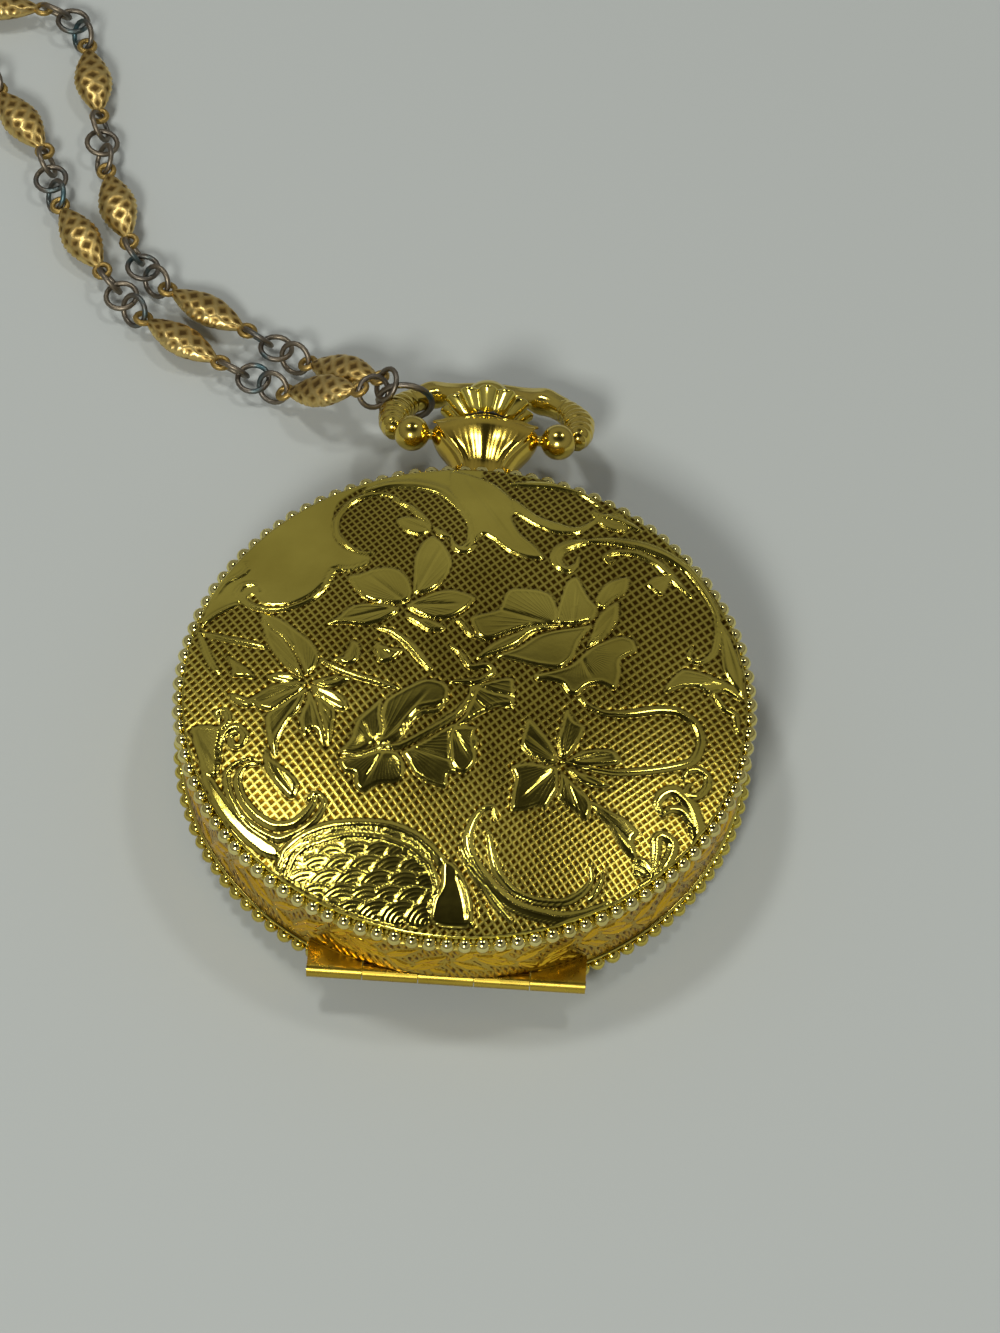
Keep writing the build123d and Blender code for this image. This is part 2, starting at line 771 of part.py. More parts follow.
def make_centre_wheel():
    wheel_turn = bearing(centre_at, third_at)
    leaf_turn = meshed_turn(centre_at, barrel_at, train_leaves)
    wheel_high = centre_wheel_low + wheel_t
    wheel = gear(centre_module, centre_teeth, centre_wheel_low, wheel_high, centre_at, wheel_turn)
    wheel += gear(barrel_module, train_leaves, barrel_low, centre_wheel_low, centre_at, leaf_turn)
    return wheel + disc(centre_arbor_r, minute_hand_z + hand_t, bridge_top_z)


def make_third_wheel():
    turn = bearing(third_at, fourth_at)
    leaf_turn = meshed_turn(third_at, centre_at, train_leaves)
    wheel = gear(third_module, third_teeth, third_wheel_low, third_wheel_low + wheel_t, third_at, turn)
    leaf_low = centre_wheel_low - small_gap / 2
    wheel += gear(centre_module, train_leaves, leaf_low, leaf_low + wheel_t * 1.6, third_at, leaf_turn)
    return wheel + arbor(third_at)


def make_fourth_wheel():
    turn = bearing(fourth_at, escape_at)
    leaf_turn = meshed_turn(fourth_at, third_at, train_leaves)
    wheel = gear(fourth_module, fourth_teeth, fourth_wheel_low, fourth_wheel_low + wheel_t, fourth_at, turn)
    leaf_low = third_wheel_low - small_gap / 2
    wheel += gear(third_module, train_leaves, leaf_low, leaf_low + wheel_t * 1.6, fourth_at, leaf_turn)
    return wheel + arbor(fourth_at)


def make_escape_wheel():
    leaf_turn = meshed_turn(escape_at, fourth_at, escape_leaves)
    wheel = star(escape_r, escape_root_r, escape_teeth, third_wheel_low, third_wheel_low + wheel_t, escape_at)
    leaf_low = fourth_wheel_low - small_gap / 2
    wheel += gear(fourth_module, escape_leaves, leaf_low, leaf_low + wheel_t * 1.6, escape_at, leaf_turn)
    return wheel + arbor(escape_at)


def make_pallet_fork():
    """The lever: two pallet arms at the escape wheel and a fork to the balance roller."""
    aim = math.degrees(bearing(pallet_at, balance_at))
    width = arbor_r * 0.7
    away = math.dist(pallet_at, balance_at) - roller_r - small_gap
    end = toward(pallet_at, aim, away)
    low = third_wheel_low
    corners = [
        toward(pallet_at, aim + 90, width), toward(pallet_at, aim - 90, width),
        toward(end, aim - 90, width), toward(end, aim + 90, width),
    ]
    fork = extrude(make_face(Polyline(*corners, close=True)), amount=wheel_t)
    for side in (-1, 1):
        shoulder = toward(pallet_at, aim + side * 90, escape_r * 0.6)
        stone = toward(escape_at, math.degrees(bearing(escape_at, shoulder)), escape_r + small_gap * 2)
        arm = [
            toward(pallet_at, aim, width), toward(pallet_at, aim + 180, width),
            stone, toward(shoulder, aim, width),
        ]
        fork += extrude(make_face(Polyline(*arm, close=True)), amount=wheel_t)
    return Pos(0, 0, low) * fork + arbor(pallet_at)


def make_balance_wheel():
    x, y = balance_at
    wheel = tube(balance_r, balance_r - balance_rim_w, balance_low, balance_low + balance_rim_h, x, y)
    arm_w = balance_rim_w / 2
    reach = balance_r - balance_rim_w / 2
    wheel += block(x - arm_w, x + arm_w, y - reach, y + reach, balance_low, balance_low + wheel_t)
    wheel += disc(roller_r, third_wheel_low, third_wheel_low + wheel_t, x, y)
    return wheel + arbor(balance_at)


def make_hairspring():
    """A flat spiral, from the balance staff out to the stud under the cock."""
    start_r = arbor_r + small_gap
    per_turn = 14
    inner = []
    outer = []
    for index in range(hairspring_turns * per_turn + 1):
        radius = start_r + hairspring_pitch * index / per_turn
        angle = 360.0 * index / per_turn
        inner.append(toward(balance_at, angle, radius))
        outer.append(toward(balance_at, angle, radius + hairspring_w))
    face = make_face(Polyline(*(outer + inner[::-1]), close=True))
    low = balance_low + balance_rim_h + small_gap / 2
    return Pos(0, 0, low) * extrude(face, amount=bridge_z - small_gap - low)


def make_winding_pinion():
    root = winding_pinion_r - winding_module
    outline = star_points(winding_pinion_r, root, winding_teeth)
    face = make_face(Polyline(*outline, close=True))
    start = winding_pinion_y - winding_pinion_l / 2
    pinion = Pos(0, start, stem_z) * Rot(-90, 0, 0) * extrude(face, amount=winding_pinion_l)
    return pinion - rod_y(stem_d / 2 + fit_gap, 0.0, reach_all)


def make_sliding_clutch():
    start = clutch_y - clutch_l / 2
    clutch = rod_y(clutch_r, start, start + clutch_l)
    groove = rod_y(clutch_r + small_gap, clutch_y - small_gap, clutch_y + small_gap)
    groove -= rod_y(clutch_r * 0.75, 0.0, reach_all)
    return clutch - groove - rod_y(stem_d / 2, 0.0, reach_all)


def make_setting_lever():
    low = stem_z + ring_lip
    pivot = (lever_x, lever_y)
    nose = (lever_nose_x, lever_nose_y)
    aim = math.degrees(bearing(pivot, nose))
    half = lever_w / 2
    corners = [
        toward(pivot, aim + 90, half), toward(pivot, aim - 90, half),
        toward(nose, aim - 90, half), toward(nose, aim + 90, half),
    ]
    lever = Pos(0, 0, low) * extrude(make_face(Polyline(*corners, close=True)), amount=lever_t)
    return lever + disc(lever_r, low, low + lever_t, lever_x, lever_y)


def make_cannon_pinion():
    turn = meshed_turn(centre_at, minute_wheel_at, cannon_leaves)
    low = hour_wheel_low + wheel_t + small_gap / 2
    pinion = gear(minute_module, cannon_leaves, low, motion_high, centre_at, turn)
    pinion += disc(cannon_r, minute_hand_z, motion_high)
    return pinion - disc(centre_arbor_r + fit_gap, minute_hand_z + hand_t, back_top_z)


def make_minute_wheel():
    turn = bearing(minute_wheel_at, centre_at)
    low = hour_wheel_low + wheel_t + small_gap
    wheel = gear(minute_module, minute_wheel_teeth, low, motion_high, minute_wheel_at, turn)
    wheel += gear(hour_module, minute_leaves, hour_wheel_low, low, minute_wheel_at, turn)
    return wheel - disc(arbor_r + fit_gap, 0.0, back_top_z, *minute_wheel_at)


def make_hour_wheel():
    turn = meshed_turn(centre_at, minute_wheel_at, hour_wheel_teeth)
    wheel = gear(hour_module, hour_wheel_teeth, hour_wheel_low, hour_wheel_low + wheel_t, centre_at, turn)
    wheel += disc(pipe_r, hour_hand_z, hour_wheel_low + wheel_t)
    return wheel - disc(pipe_in_r, 0.0, back_top_z)


def make_hand(length, low, hole_r, aim):
    """A spade hand: a ring on its pipe, a blade with a leaf, and a short tail."""
    half = hand_w / 2
    hub_r = hole_r + hub_wall
    origin = (0.0, 0.0)
    neck = half * 0.35
    tail = toward(origin, aim, -hub_r * 2)
    leaf = toward(origin, aim, length * 0.62)
    shoulder = toward(origin, aim, length * 0.74)
    corners = [
        toward(tail, aim + 90, neck), toward(tail, aim - 90, neck), toward(leaf, aim - 90, neck),
        toward(shoulder, aim - 90, half), toward(origin, aim, length),
        toward(shoulder, aim + 90, half), toward(leaf, aim + 90, neck),
    ]
    blade = Pos(0, 0, low) * extrude(make_face(Polyline(*corners, close=True)), amount=hand_t)
    hand = blade + disc(hub_r, low, low + hand_t)
    return hand - disc(hole_r, 0.0, back_top_z)


def chain_plane(at, along, roll_deg):
    """A plane whose X runs along the chain, turned about it by the roll."""
    forward = Vector(*along).normalized()
    side = Vector(0, 0, 1).cross(forward).normalized()
    up = forward.cross(side)
    angle = math.radians(roll_deg)
    normal = up * math.cos(angle) + side * math.sin(angle)
    return Plane(origin=Vector(*at), x_dir=forward, z_dir=normal)


def wire_ring(outer_d, wire, at, along, roll_deg, sides=12):
    """A jump ring: a many-sided ring lying in the rolled plane."""
    outer = RegularPolygon(outer_d / 2, sides).face()
    inner = RegularPolygon(outer_d / 2 - wire, sides).face()
    solid = extrude(outer, amount=wire / 2, both=True) - extrude(inner, amount=wire, both=True)
    return chain_plane(at, along, roll_deg).location * solid


def make_link(start, end, roll_deg):
    """A puffed lens-shaped link with an eye at each end, between two eye centres."""
    middle = tuple((a + b) / 2 for a, b in zip(start, end))
    along = tuple(b - a for a, b in zip(start, end))
    eye_r = link_eye_d / 2 + link_eye_wall
    half = link_l / 2 - link_eye_d / 2
    sections = []
    for reach_share, size_share in ((-1.0, 0.2), (-0.55, 0.72), (0.0, 1.0), (0.55, 0.72), (1.0, 0.2)):
        points = ellipse_points(link_w * size_share, link_t * size_share, 8)
        sections.append(make_face(Polyline(*[(half * reach_share, a, b) for a, b in points], close=True)))
    body = loft(sections, ruled=True)
    for side in (-1, 1):
        at = Pos(side * link_l / 2, 0, 0)
        body += at * Cylinder(eye_r, link_eye_t)
    for side in (-1, 1):
        at = Pos(side * link_l / 2, 0, 0)
        body -= at * Cylinder(link_eye_d / 2, link_t)
    return chain_plane(middle, along, roll_deg).location * body


def step_along(route, leg, start, distance):
    """The point of a route at a straight distance beyond a point on one of its legs."""
    here = Vector(*start)
    for index in range(leg, len(route) - 1):
        a = here if index == leg else Vector(*route[index])
        b = Vector(*route[index + 1])
        if (b - here).length < distance:
            continue
        low = 0.0
        high = 1.0
        for _ in range(halvings):
            middle = (low + high) / 2
            if (a + (b - a) * middle - here).length < distance:
                low = middle
            else:
                high = middle
        found = a + (b - a) * high
        return index, (found.X, found.Y, found.Z)
    raise ValueError("the route is too short")


def lay_strand(route, link_count):
    """Places of a strand's links and rings along its route, from the first link's eye."""
    links = []
    rings = []
    leg = 0
    here = route[0]
    for number in range(link_count):
        leg, far = step_along(route, leg, here, link_l)
        links.append((here, far))
        here = far
        if number == link_count - 1:
            break
        centres = []
        for distance in (ring_reach, ring_pitch, ring_pitch):
            leg, here = step_along(route, leg, here, distance)
            centres.append(here)
        leg, eye = step_along(route, leg, here, ring_reach)
        points = [far] + centres + [eye]
        for index, roll in ((1, -upright_deg), (2, 0.0), (3, upright_deg)):
            along = tuple(b - a for a, b in zip(points[index - 1], points[index + 1]))
            rings.append((points[index], along, roll))
        here = eye
    return links, rings


def make_strand(route, link_count):
    """One strand of the chain on the table: every link and ring after the first link a solid."""
    links, rings = lay_strand(route, link_count)
    solids = [make_link(a, b, 0.0) for a, b in links[1:]]
    for at, along, roll in rings:
        solids.append(wire_ring(ring_d, ring_wire, at, along, roll))
    return Pos(0, chain_shift, 0) * Compound(children=solids)


def first_ring(route, hold_deg, roll):
    """The small ring between a point of the bow ring and the first link of a strand."""
    x, y, z = bow_ring_at
    angle = math.radians(hold_deg)
    radius = (bow_ring_d - bow_ring_wire) / 2
    hold = Vector(x + radius * math.cos(angle), y, z + radius * math.sin(angle))
    eye = Vector(*route[0])
    pull = (hold - eye).normalized()
    centre = eye + pull * ring_reach
    return wire_ring(ring_d, ring_wire, tuple(centre), tuple(pull), roll)


def make_bow_links():
    """The large ring on the bow, with one small ring and one link of each strand."""
    solids = [wire_ring(bow_ring_d, bow_ring_wire, bow_ring_at, (1.0, 0.0, 0.0), 90.0)]
    upper = (upper_route, upper_hold_deg, 0.0, upper_ring_roll)
    lower = (lower_route, lower_hold_deg, lower_ring_roll, lower_ring_roll)
    for route, hold_deg, link_roll, ring_roll in (upper, lower):
        links, rings = lay_strand(route, 1)
        solids.append(make_link(*links[0], link_roll))
        solids.append(first_ring(route, hold_deg, ring_roll))
    return Pos(0, chain_shift, 0) * Compound(children=solids)


def strand_end(route, link_count):
    """Where a strand's last link ends on the table."""
    links, rings = lay_strand(route, link_count)
    start, end = links[-1]
    aim = (Vector(*end) - Vector(*start)).normalized()
    return tuple(Vector(*end) + aim * (link_eye_d / 2 + link_eye_wall))


def coil_half(start, radius, toward_plus, clockwise, rise=0.0):
    """Half a turn of the coil from a point straight below or above its middle."""
    x, y, z = start
    side = 1 if toward_plus else -1
    bulge = -1 if toward_plus == clockwise else 1
    middle = (x + bulge * radius, y + side * radius, z + rise / 2)
    end = (x, y + side * 2 * radius, z + rise)
    return ThreePointArc(start, middle, end), end


def coil_edges():
    """The unseen length of the chain: wound in on the table, over, and out again on top."""
    step = coil_pitch / 2
    point = (coil_x, coil_y - coil_r, chain_lie)
    edges = [Line(strand_end(upper_route, link_count_upper), point)]
    radius = coil_r
    up = True
    for _ in range(2 * coil_turns):
        arc, point = coil_half(point, radius, up, True)
        edges.append(arc)
        radius -= step
        up = not up
    turn_r = (coil_r - coil_turns * coil_pitch) / 2
    for clockwise in (True, False):
        arc, point = coil_half(point, turn_r, True, clockwise, coil_layer / 2)
        edges.append(arc)
    radius = coil_r - 3 * step
    up = False
    for _ in range(2 * coil_turns - 2):
        arc, point = coil_half(point, radius, up, False)
        edges.append(arc)
        radius += step
        up = not up
    middle = (point[0], point[1] - radius)
    high_z = point[2]
    leave = toward(middle, coil_exit_deg, radius) + (high_z,)
    half_way = toward(middle, (coil_exit_deg + 90.0) / 2, radius) + (high_z,)
    edges.append(ThreePointArc(point, half_way, leave))
    high = toward(leave, coil_exit_deg + 90.0, fall_start) + (high_z,)
    low = toward(leave, coil_exit_deg + 90.0, fall_end) + (chain_lie,)
    edges += rounded([leave, high, low, strand_end(lower_route, link_count_lower)])
    return edges


def rounded(points):
    """Straight runs joined by tangent arcs as large as the runs allow; their radii are printed."""
    vectors = [Vector(*point) for point in points]
    radii = []
    for before, here, after in zip(vectors, vectors[1:], vectors[2:]):
        turn = math.radians((here - before).get_angle(after - here))
        shorter = min((here - before).length, (after - here).length)
        radii.append(arc_share * shorter / math.tan(turn / 2))
    print("radii", [round(radius, 1) for radius in radii])
    return list(FilletPolyline(*points, radius=radii).edges())


def least_gap(path, samples):
    """The least gap of a tube to itself, on points a diameter and more apart along it."""
    points = [path.position_at(index / samples) for index in range(samples + 1)]
    near = int(samples * chain_d * 1.6 / path.length) + 1
    least = path.length
    for index, point in enumerate(points):
        for other in points[index + near:]:
            least = min(least, (point - other).length)
    return least - chain_d


def make_chain_coil():
    path = Wire([Edge(edge.wrapped) for edge in coil_edges()])
    print("coil length", round(path.length, 1), "least gap", round(least_gap(path, coil_samples), 2))
    start = Plane(origin=path.position_at(0), z_dir=path.tangent_at(0))
    section = (start * Circle(chain_d / 2)).face()
    solid = sweep(section, path=path)
    expected = math.pi * chain_d * chain_d / 4 * path.length
    print("coil volume over section times length", round(solid.volume / expected, 4))
    return Pos(0, chain_shift, 0) * solid


nodes = {
    "case_middle": make_case_middle,
    "back_cover": make_back_cover,
    "front_lid": make_front_lid,
    "hinge_pin": make_hinge_pin,
    "lid_lift_spring": lambda: case_spring(100.0, 60.0),
    "lid_lock_spring": lambda: case_spring(20.0, 50.0),
    "pendant_neck": make_pendant_neck,
    "pendant_tube": make_pendant_tube,
    "bow": make_bow,
    "crown": make_crown,
    "crown_gasket": make_crown_gasket,
    "winding_stem": make_winding_stem,
    "crystal": make_crystal,
    "crystal_bezel": make_bezel,
    "dial": make_dial,
    "minute_hand": lambda: make_hand(minute_hand_l, minute_hand_z, cannon_r, minute_hand_aim),
    "hour_hand": lambda: make_hand(hour_hand_l, hour_hand_z, pipe_r, hour_hand_aim),
    "movement_ring": make_movement_ring,
    "mainplate": make_mainplate,
    "barrel_bridge": make_barrel_bridge,
    "train_bridge": make_train_bridge,
    "balance_cock": make_balance_cock,
    "bridge_screws": make_bridge_screws,
    "jewels": make_jewels,
    "mainspring_barrel": make_mainspring_barrel,
    "ratchet_wheel": make_ratchet_wheel,
    "crown_wheel": make_crown_wheel,
    "click": make_click,
    "centre_wheel": make_centre_wheel,
    "third_wheel": make_third_wheel,
    "fourth_wheel": make_fourth_wheel,
    "escape_wheel": make_escape_wheel,
    "pallet_fork": make_pallet_fork,
    "balance_wheel": make_balance_wheel,
    "hairspring": make_hairspring,
    "winding_pinion": make_winding_pinion,
    "sliding_clutch": make_sliding_clutch,
    "setting_lever": make_setting_lever,
    "cannon_pinion": make_cannon_pinion,
    "minute_wheel": make_minute_wheel,
    "hour_wheel": make_hour_wheel,
    "chain_bow_links": make_bow_links,
    "chain_strand_upper": lambda: make_strand(upper_route, link_count_upper),
    "chain_strand_lower": lambda: make_strand(lower_route, link_count_lower),
    "chain_coil": make_chain_coil,
}

for name, make in nodes.items():
    export_step(make(), f"parts/{name}.step")
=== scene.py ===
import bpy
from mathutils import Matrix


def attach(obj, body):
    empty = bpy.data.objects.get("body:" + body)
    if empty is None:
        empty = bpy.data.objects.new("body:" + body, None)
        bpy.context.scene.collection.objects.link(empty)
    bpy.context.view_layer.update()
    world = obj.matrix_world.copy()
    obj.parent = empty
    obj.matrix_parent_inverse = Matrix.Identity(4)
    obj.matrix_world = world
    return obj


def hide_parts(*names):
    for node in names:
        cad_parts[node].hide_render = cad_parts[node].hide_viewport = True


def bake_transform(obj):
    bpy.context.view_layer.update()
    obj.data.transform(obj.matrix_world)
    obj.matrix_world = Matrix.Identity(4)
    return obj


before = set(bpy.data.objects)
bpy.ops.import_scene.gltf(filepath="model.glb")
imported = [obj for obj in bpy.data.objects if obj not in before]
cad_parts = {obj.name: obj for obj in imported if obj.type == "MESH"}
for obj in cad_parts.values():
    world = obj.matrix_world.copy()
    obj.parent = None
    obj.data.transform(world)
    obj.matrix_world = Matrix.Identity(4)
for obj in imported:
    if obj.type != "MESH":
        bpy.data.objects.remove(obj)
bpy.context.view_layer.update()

import math

import bmesh
import bpy
import numpy as np
from mathutils import Matrix, Vector

# The table: the closed watch lies on its front lid on a pale cloth-covered table.
# A plain pale floor in a soft room, pale at the sides and dark overhead, with three
# lamps, so that the polished gold has something to mirror. The camera looks down steeply.
mm = 0.001
floor_colour = (0.54, 0.57, 0.53)
half_floor = 1500.0
room_stops = ((0.0, 0.14), (0.3, 0.24), (0.62, 0.27), (0.775, 0.20), (0.86, 0.03), (1.0, 0.01))
lamps = (("window", (-200, 145, 560), 90, 0.72),
         ("lamp_right", (215, 165, 560), 70, 0.4),
         ("lamp_near", (-130, -540, 480), 150, 2.7))
camera_elevation = 55.39
camera_azimuth = 0.95
camera_roll = 2.82
camera_distance = 329.2
camera_target = (1.90, 8.29, -0.70)
sensor_w = 36.0
lens_pixels = 5200.0
photo_height = 1333.0


def link_object(name, data):
    """Puts a mesh, lamp or camera into the scene as an object of that name, at the origin."""
    made = bpy.data.objects.new(name, data)
    bpy.context.scene.collection.objects.link(made)
    return made


def grid_faces(rows, columns, close_rows=False, close_columns=False):
    """Quads of a grid of points: each joins a point to its right, diagonal and upper neighbours."""
    row = np.arange(rows if close_rows else rows - 1)
    column = np.arange(columns if close_columns else columns - 1)
    r, c = np.meshgrid(row, column, indexing="ij")
    r2, c2 = (r + 1) % rows, (c + 1) % columns
    quads = np.stack([r * columns + c, r * columns + c2, r2 * columns + c2, r2 * columns + c], axis=-1)
    return quads.reshape(-1, 4)


def turn_outward(mesh):
    """Makes every face of a closed mesh point outwards."""
    work = bmesh.new()
    work.from_mesh(mesh)
    bmesh.ops.recalc_face_normals(work, faces=work.faces)
    work.to_mesh(mesh)
    work.free()


def make_piece(name, points, faces, body, material, smooth=True, outward=False):
    """A mesh piece from an array of points in millimetres and rows of faces, riding on a body."""
    mesh = bpy.data.meshes.new(name)
    mesh.from_pydata((np.asarray(points).reshape(-1, 3) * mm).tolist(), [], [list(f) for f in faces])
    mesh.materials.append(material)
    mesh.polygons.foreach_set("use_smooth", np.full(len(mesh.polygons), smooth))
    mesh.update()
    if outward:
        turn_outward(mesh)
    made = link_object(name, mesh)
    if body is not None:
        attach(made, body)
    return made


def add_attribute(piece, name, values):
    """Stores one number for each point of a mesh, for its material to read."""
    attribute = piece.data.attributes.new(name, "FLOAT", "POINT")
    attribute.data.foreach_set("value", np.asarray(values, dtype=np.float32).ravel())


def new_material(name, colour, metallic=0.0, roughness=0.5):
    """A material of one colour with its node tree ready to build on."""
    material = bpy.data.materials.new(name)
    material.use_nodes = True
    shader_input(material, "Base Color").default_value = (*colour, 1.0)
    shader_input(material, "Metallic").default_value = metallic
    shader_input(material, "Roughness").default_value = roughness
    return material


def shader_input(material, name):
    """A socket of the material's shader."""
    return material.node_tree.nodes["Principled BSDF"].inputs[name]


def node(holder, kind, **settings):
    """Adds a shader node; settings named in_X set the input X, all others are the node's own."""
    made = holder.node_tree.nodes.new(kind)
    for key, value in settings.items():
        if key.startswith("in_"):
            made.inputs[key[3:].replace("_", " ")].default_value = value
        else:
            setattr(made, key, value)
    return made


def wire(holder, value, target):
    """Links an output to an input, or sets the input to a number or a colour."""
    if isinstance(value, bpy.types.NodeSocket):
        holder.node_tree.links.new(value, target)
    else:
        target.default_value = value


def object_noise(material, scale, detail=3.0):
    """A soft noise over the piece's own coordinates; the scale is in repeats for each millimetre."""
    place = node(material, "ShaderNodeTexCoord")
    noise = node(material, "ShaderNodeTexNoise", in_Scale=scale / mm, in_Detail=detail)
    wire(material, place.outputs["Object"], noise.inputs["Vector"])
    return noise.outputs["Fac"]


def ramp(holder, value, stops):
    """A colour ramp on a value, from (place, colour) stops."""
    made = node(holder, "ShaderNodeValToRGB")
    elements = made.color_ramp.elements
    for index, (place, colour) in enumerate(stops):
        element = elements[index] if index < 2 else elements.new(place)
        element.position = place
        element.color = (*colour, 1.0)
    wire(holder, value, made.inputs["Fac"])
    return made.outputs["Color"]


cloth = new_material("pale_cloth", floor_colour, roughness=0.9)
floor_corners = [(x * half_floor, y * half_floor, 0.0) for x, y in ((-1, -1), (1, -1), (1, 1), (-1, 1))]
floor = make_piece("floor", floor_corners, [(0, 1, 2, 3)], None, cloth, smooth=False)

world = bpy.data.worlds.new("soft_room")
world.use_nodes = True
bpy.context.scene.world = world
split = node(world, "ShaderNodeSeparateXYZ")
wire(world, node(world, "ShaderNodeTexCoord").outputs["Generated"], split.inputs["Vector"])
room = ramp(world, split.outputs["Z"], [(place, (level, level, level * 1.02)) for place, level in room_stops])
wire(world, room, world.node_tree.nodes["Background"].inputs["Color"])

for name, place, size, power in lamps:
    light = bpy.data.lights.new(name, "AREA")
    light.shape = "SQUARE"
    light.size = size * mm
    light.energy = power
    lamp = link_object(name, light)
    lamp.location = Vector(place) * mm
    lamp.rotation_mode = "QUATERNION"
    lamp.rotation_quaternion = (-Vector(place)).to_track_quat("-Z", "Y")

azimuth, elevation, roll = (math.radians(a) for a in (camera_azimuth, camera_elevation, camera_roll))
back = Vector((math.sin(azimuth) * math.cos(elevation), -math.cos(azimuth) * math.cos(elevation),
               math.sin(elevation)))
right = Vector((math.cos(azimuth), math.sin(azimuth), 0.0))
up = back.cross(right)
rolled_right = right * math.cos(roll) + up * math.sin(roll)
rolled_up = up * math.cos(roll) - right * math.sin(roll)
camera_data = bpy.data.cameras.new("camera")
camera_data.sensor_fit = "AUTO"
camera_data.sensor_width = sensor_w
camera_data.lens = sensor_w * lens_pixels / photo_height
camera_data.clip_start = 0.005
camera_data.clip_end = 20.0
camera = link_object("camera", camera_data)
camera.rotation_mode = "QUATERNION"
camera.location = (Vector(camera_target) + back * camera_distance) * mm
camera.rotation_quaternion = Matrix((rolled_right, rolled_up, back)).transposed().to_quaternion()
bpy.context.scene.camera = camera
bpy.context.scene.view_settings.view_transform = "Standard"

# The chain: a doubled neck chain of gold-plated base metal, its lens-shaped links stamped
# as open mesh with a wire edge and closed by an eye at each end. Three steel-wire rings
# join one link to the next. It leaves the bow twice and its unseen length lies in a coil.
ring_r = 1.02
ring_wire_r = 0.18
ring_pitch = 1.5
ring_reach = 1.0
ring_rolls = (-62.0, 6.0, 62.0)
link_l = 6.3
link_half_w = 1.15
link_half_t = 0.72
link_end_half_w = 0.22
link_end_half_t = 0.17
rib_h = 0.055
edge_wire_h = 0.11
eye_r = 0.5
eye_wire_r = 0.2
link_roll = 14.0
bow_ring_at = np.array([-5.35, 25.85, 3.25])
bow_ring_r = 1.74
bow_ring_wire_r = 0.21
chain_lie = 1.25
coil_middle = (-45.5, 74.7)
coil_layer = 2.85
upper_route = [(-7.1, 27.0, 4.1)] + [(x, y, chain_lie) for x, y in (
    (-11.5, 29.7), (-13.9, 30.9), (-17.0, 33.0), (-22.3, 35.6), (-24.3, 38.2), (-26.7, 44.8),
    (-27.4, 48.4), (-28.3, 53.6), (-29.3, 56.8), (-30.5, 58.7), (-32.2, 59.4), (-40.0, 59.4))]
lower_route = [(-8.3, 25.6, 4.6)] + [(x, y, chain_lie) for x, y in (
    (-12.3, 27.0), (-15.0, 28.3), (-17.7, 29.6), (-23.1, 32.6), (-25.7, 36.0), (-29.2, 41.1),
    (-30.5, 44.5), (-31.3, 48.0), (-38.4, 56.0))]


def spiral(start_deg, end_deg, start_r, end_r, height, steps):
    """Points round the coil's middle: the angle and the radius both change at a steady rate."""
    share = np.linspace(0.0, 1.0, steps)
    angle = np.radians(start_deg + (end_deg - start_deg) * share)
    radius = start_r + (end_r - start_r) * share
    x = coil_middle[0] + radius * np.cos(angle)
    y = coil_middle[1] + radius * np.sin(angle)
    return [tuple(p) for p in np.stack([x, y, np.full(steps, height)], axis=1)]


def chain_route():
    """The whole route: out along one strand, into the coil, over, out on top and back."""
    top = chain_lie + coil_layer
    inner = spiral(-90.0, -810.0, 15.3, 9.6, chain_lie, 29)
    x, y = coil_middle
    reverse = [
        (x - 4.2, y - 8.6, chain_lie + 0.3), (x - 4.9, y - 4.0, chain_lie + 0.9),
        (x - 1.6, y - 0.8, chain_lie + 1.3), (x + 1.6, y + 0.8, top - 1.3),
        (x + 4.9, y + 4.0, top - 0.9), (x + 4.2, y + 8.6, top - 0.3),
    ]
    outer = spiral(90.0, 608.0, 9.8, 15.2, top, 22)
    fall = [(-43.9, 57.9, top), (-38.9, 56.2, chain_lie + 0.1)]
    return upper_route + inner + reverse + outer + fall + lower_route[::-1][1:]


def spline_points(points):
    """Points read along a smooth quadratic spline that has the given points as its controls."""
    curve = bpy.data.curves.new("route", "CURVE")
    curve.dimensions = "3D"
    curve.resolution_u = 24
    line = curve.splines.new("NURBS")
    line.points.add(len(points) - 1)
    line.points.foreach_set("co", np.column_stack([np.array(points) * mm, np.ones(len(points))]).ravel())
    line.order_u = 3
    line.use_endpoint_u = True
    holder = bpy.data.objects.new("route", curve)
    mesh = bpy.data.meshes.new_from_object(holder)
    read = np.empty(len(mesh.vertices) * 3)
    mesh.vertices.foreach_get("co", read)
    bpy.data.objects.remove(holder)
    bpy.data.curves.remove(curve)
    bpy.data.meshes.remove(mesh)
    return read.reshape(-1, 3) / mm


def places_along(line, distances):
    """Places at the given lengths along a line of points."""
    step = np.linalg.norm(np.diff(line, axis=0), axis=1)
    along = np.concatenate([[0.0], np.cumsum(step)])
    return np.stack([np.interp(distances, along, line[:, k]) for k in range(3)], axis=1)


def turned_frame(centre, forward, roll_deg):
    """A 3 by 4 placing: columns for the chain's direction, its side, its upward side and its place."""
    forward = forward / np.linalg.norm(forward)
    side = np.cross((0.0, 0.0, 1.0), forward)
    side = side / np.linalg.norm(side)
    upward = np.cross(forward, side)
    angle = math.radians(roll_deg)
    rolled_side = side * math.cos(angle) + upward * math.sin(angle)
    rolled_upward = upward * math.cos(angle) - side * math.sin(angle)
    return np.column_stack([forward, rolled_side, rolled_upward, centre])


def tube_faces(rings, around):
    """A tube's faces in two blocks: the quads between its rings of points, and a cap on each end."""
    ring = np.arange(around)
    caps = np.stack([ring[::-1], (rings - 1) * around + ring])
    return [grid_faces(rings, around, False, True), caps]


def flat(blocks):
    """The faces of several blocks as one list."""
    return [face for block in blocks for face in block.tolist()]


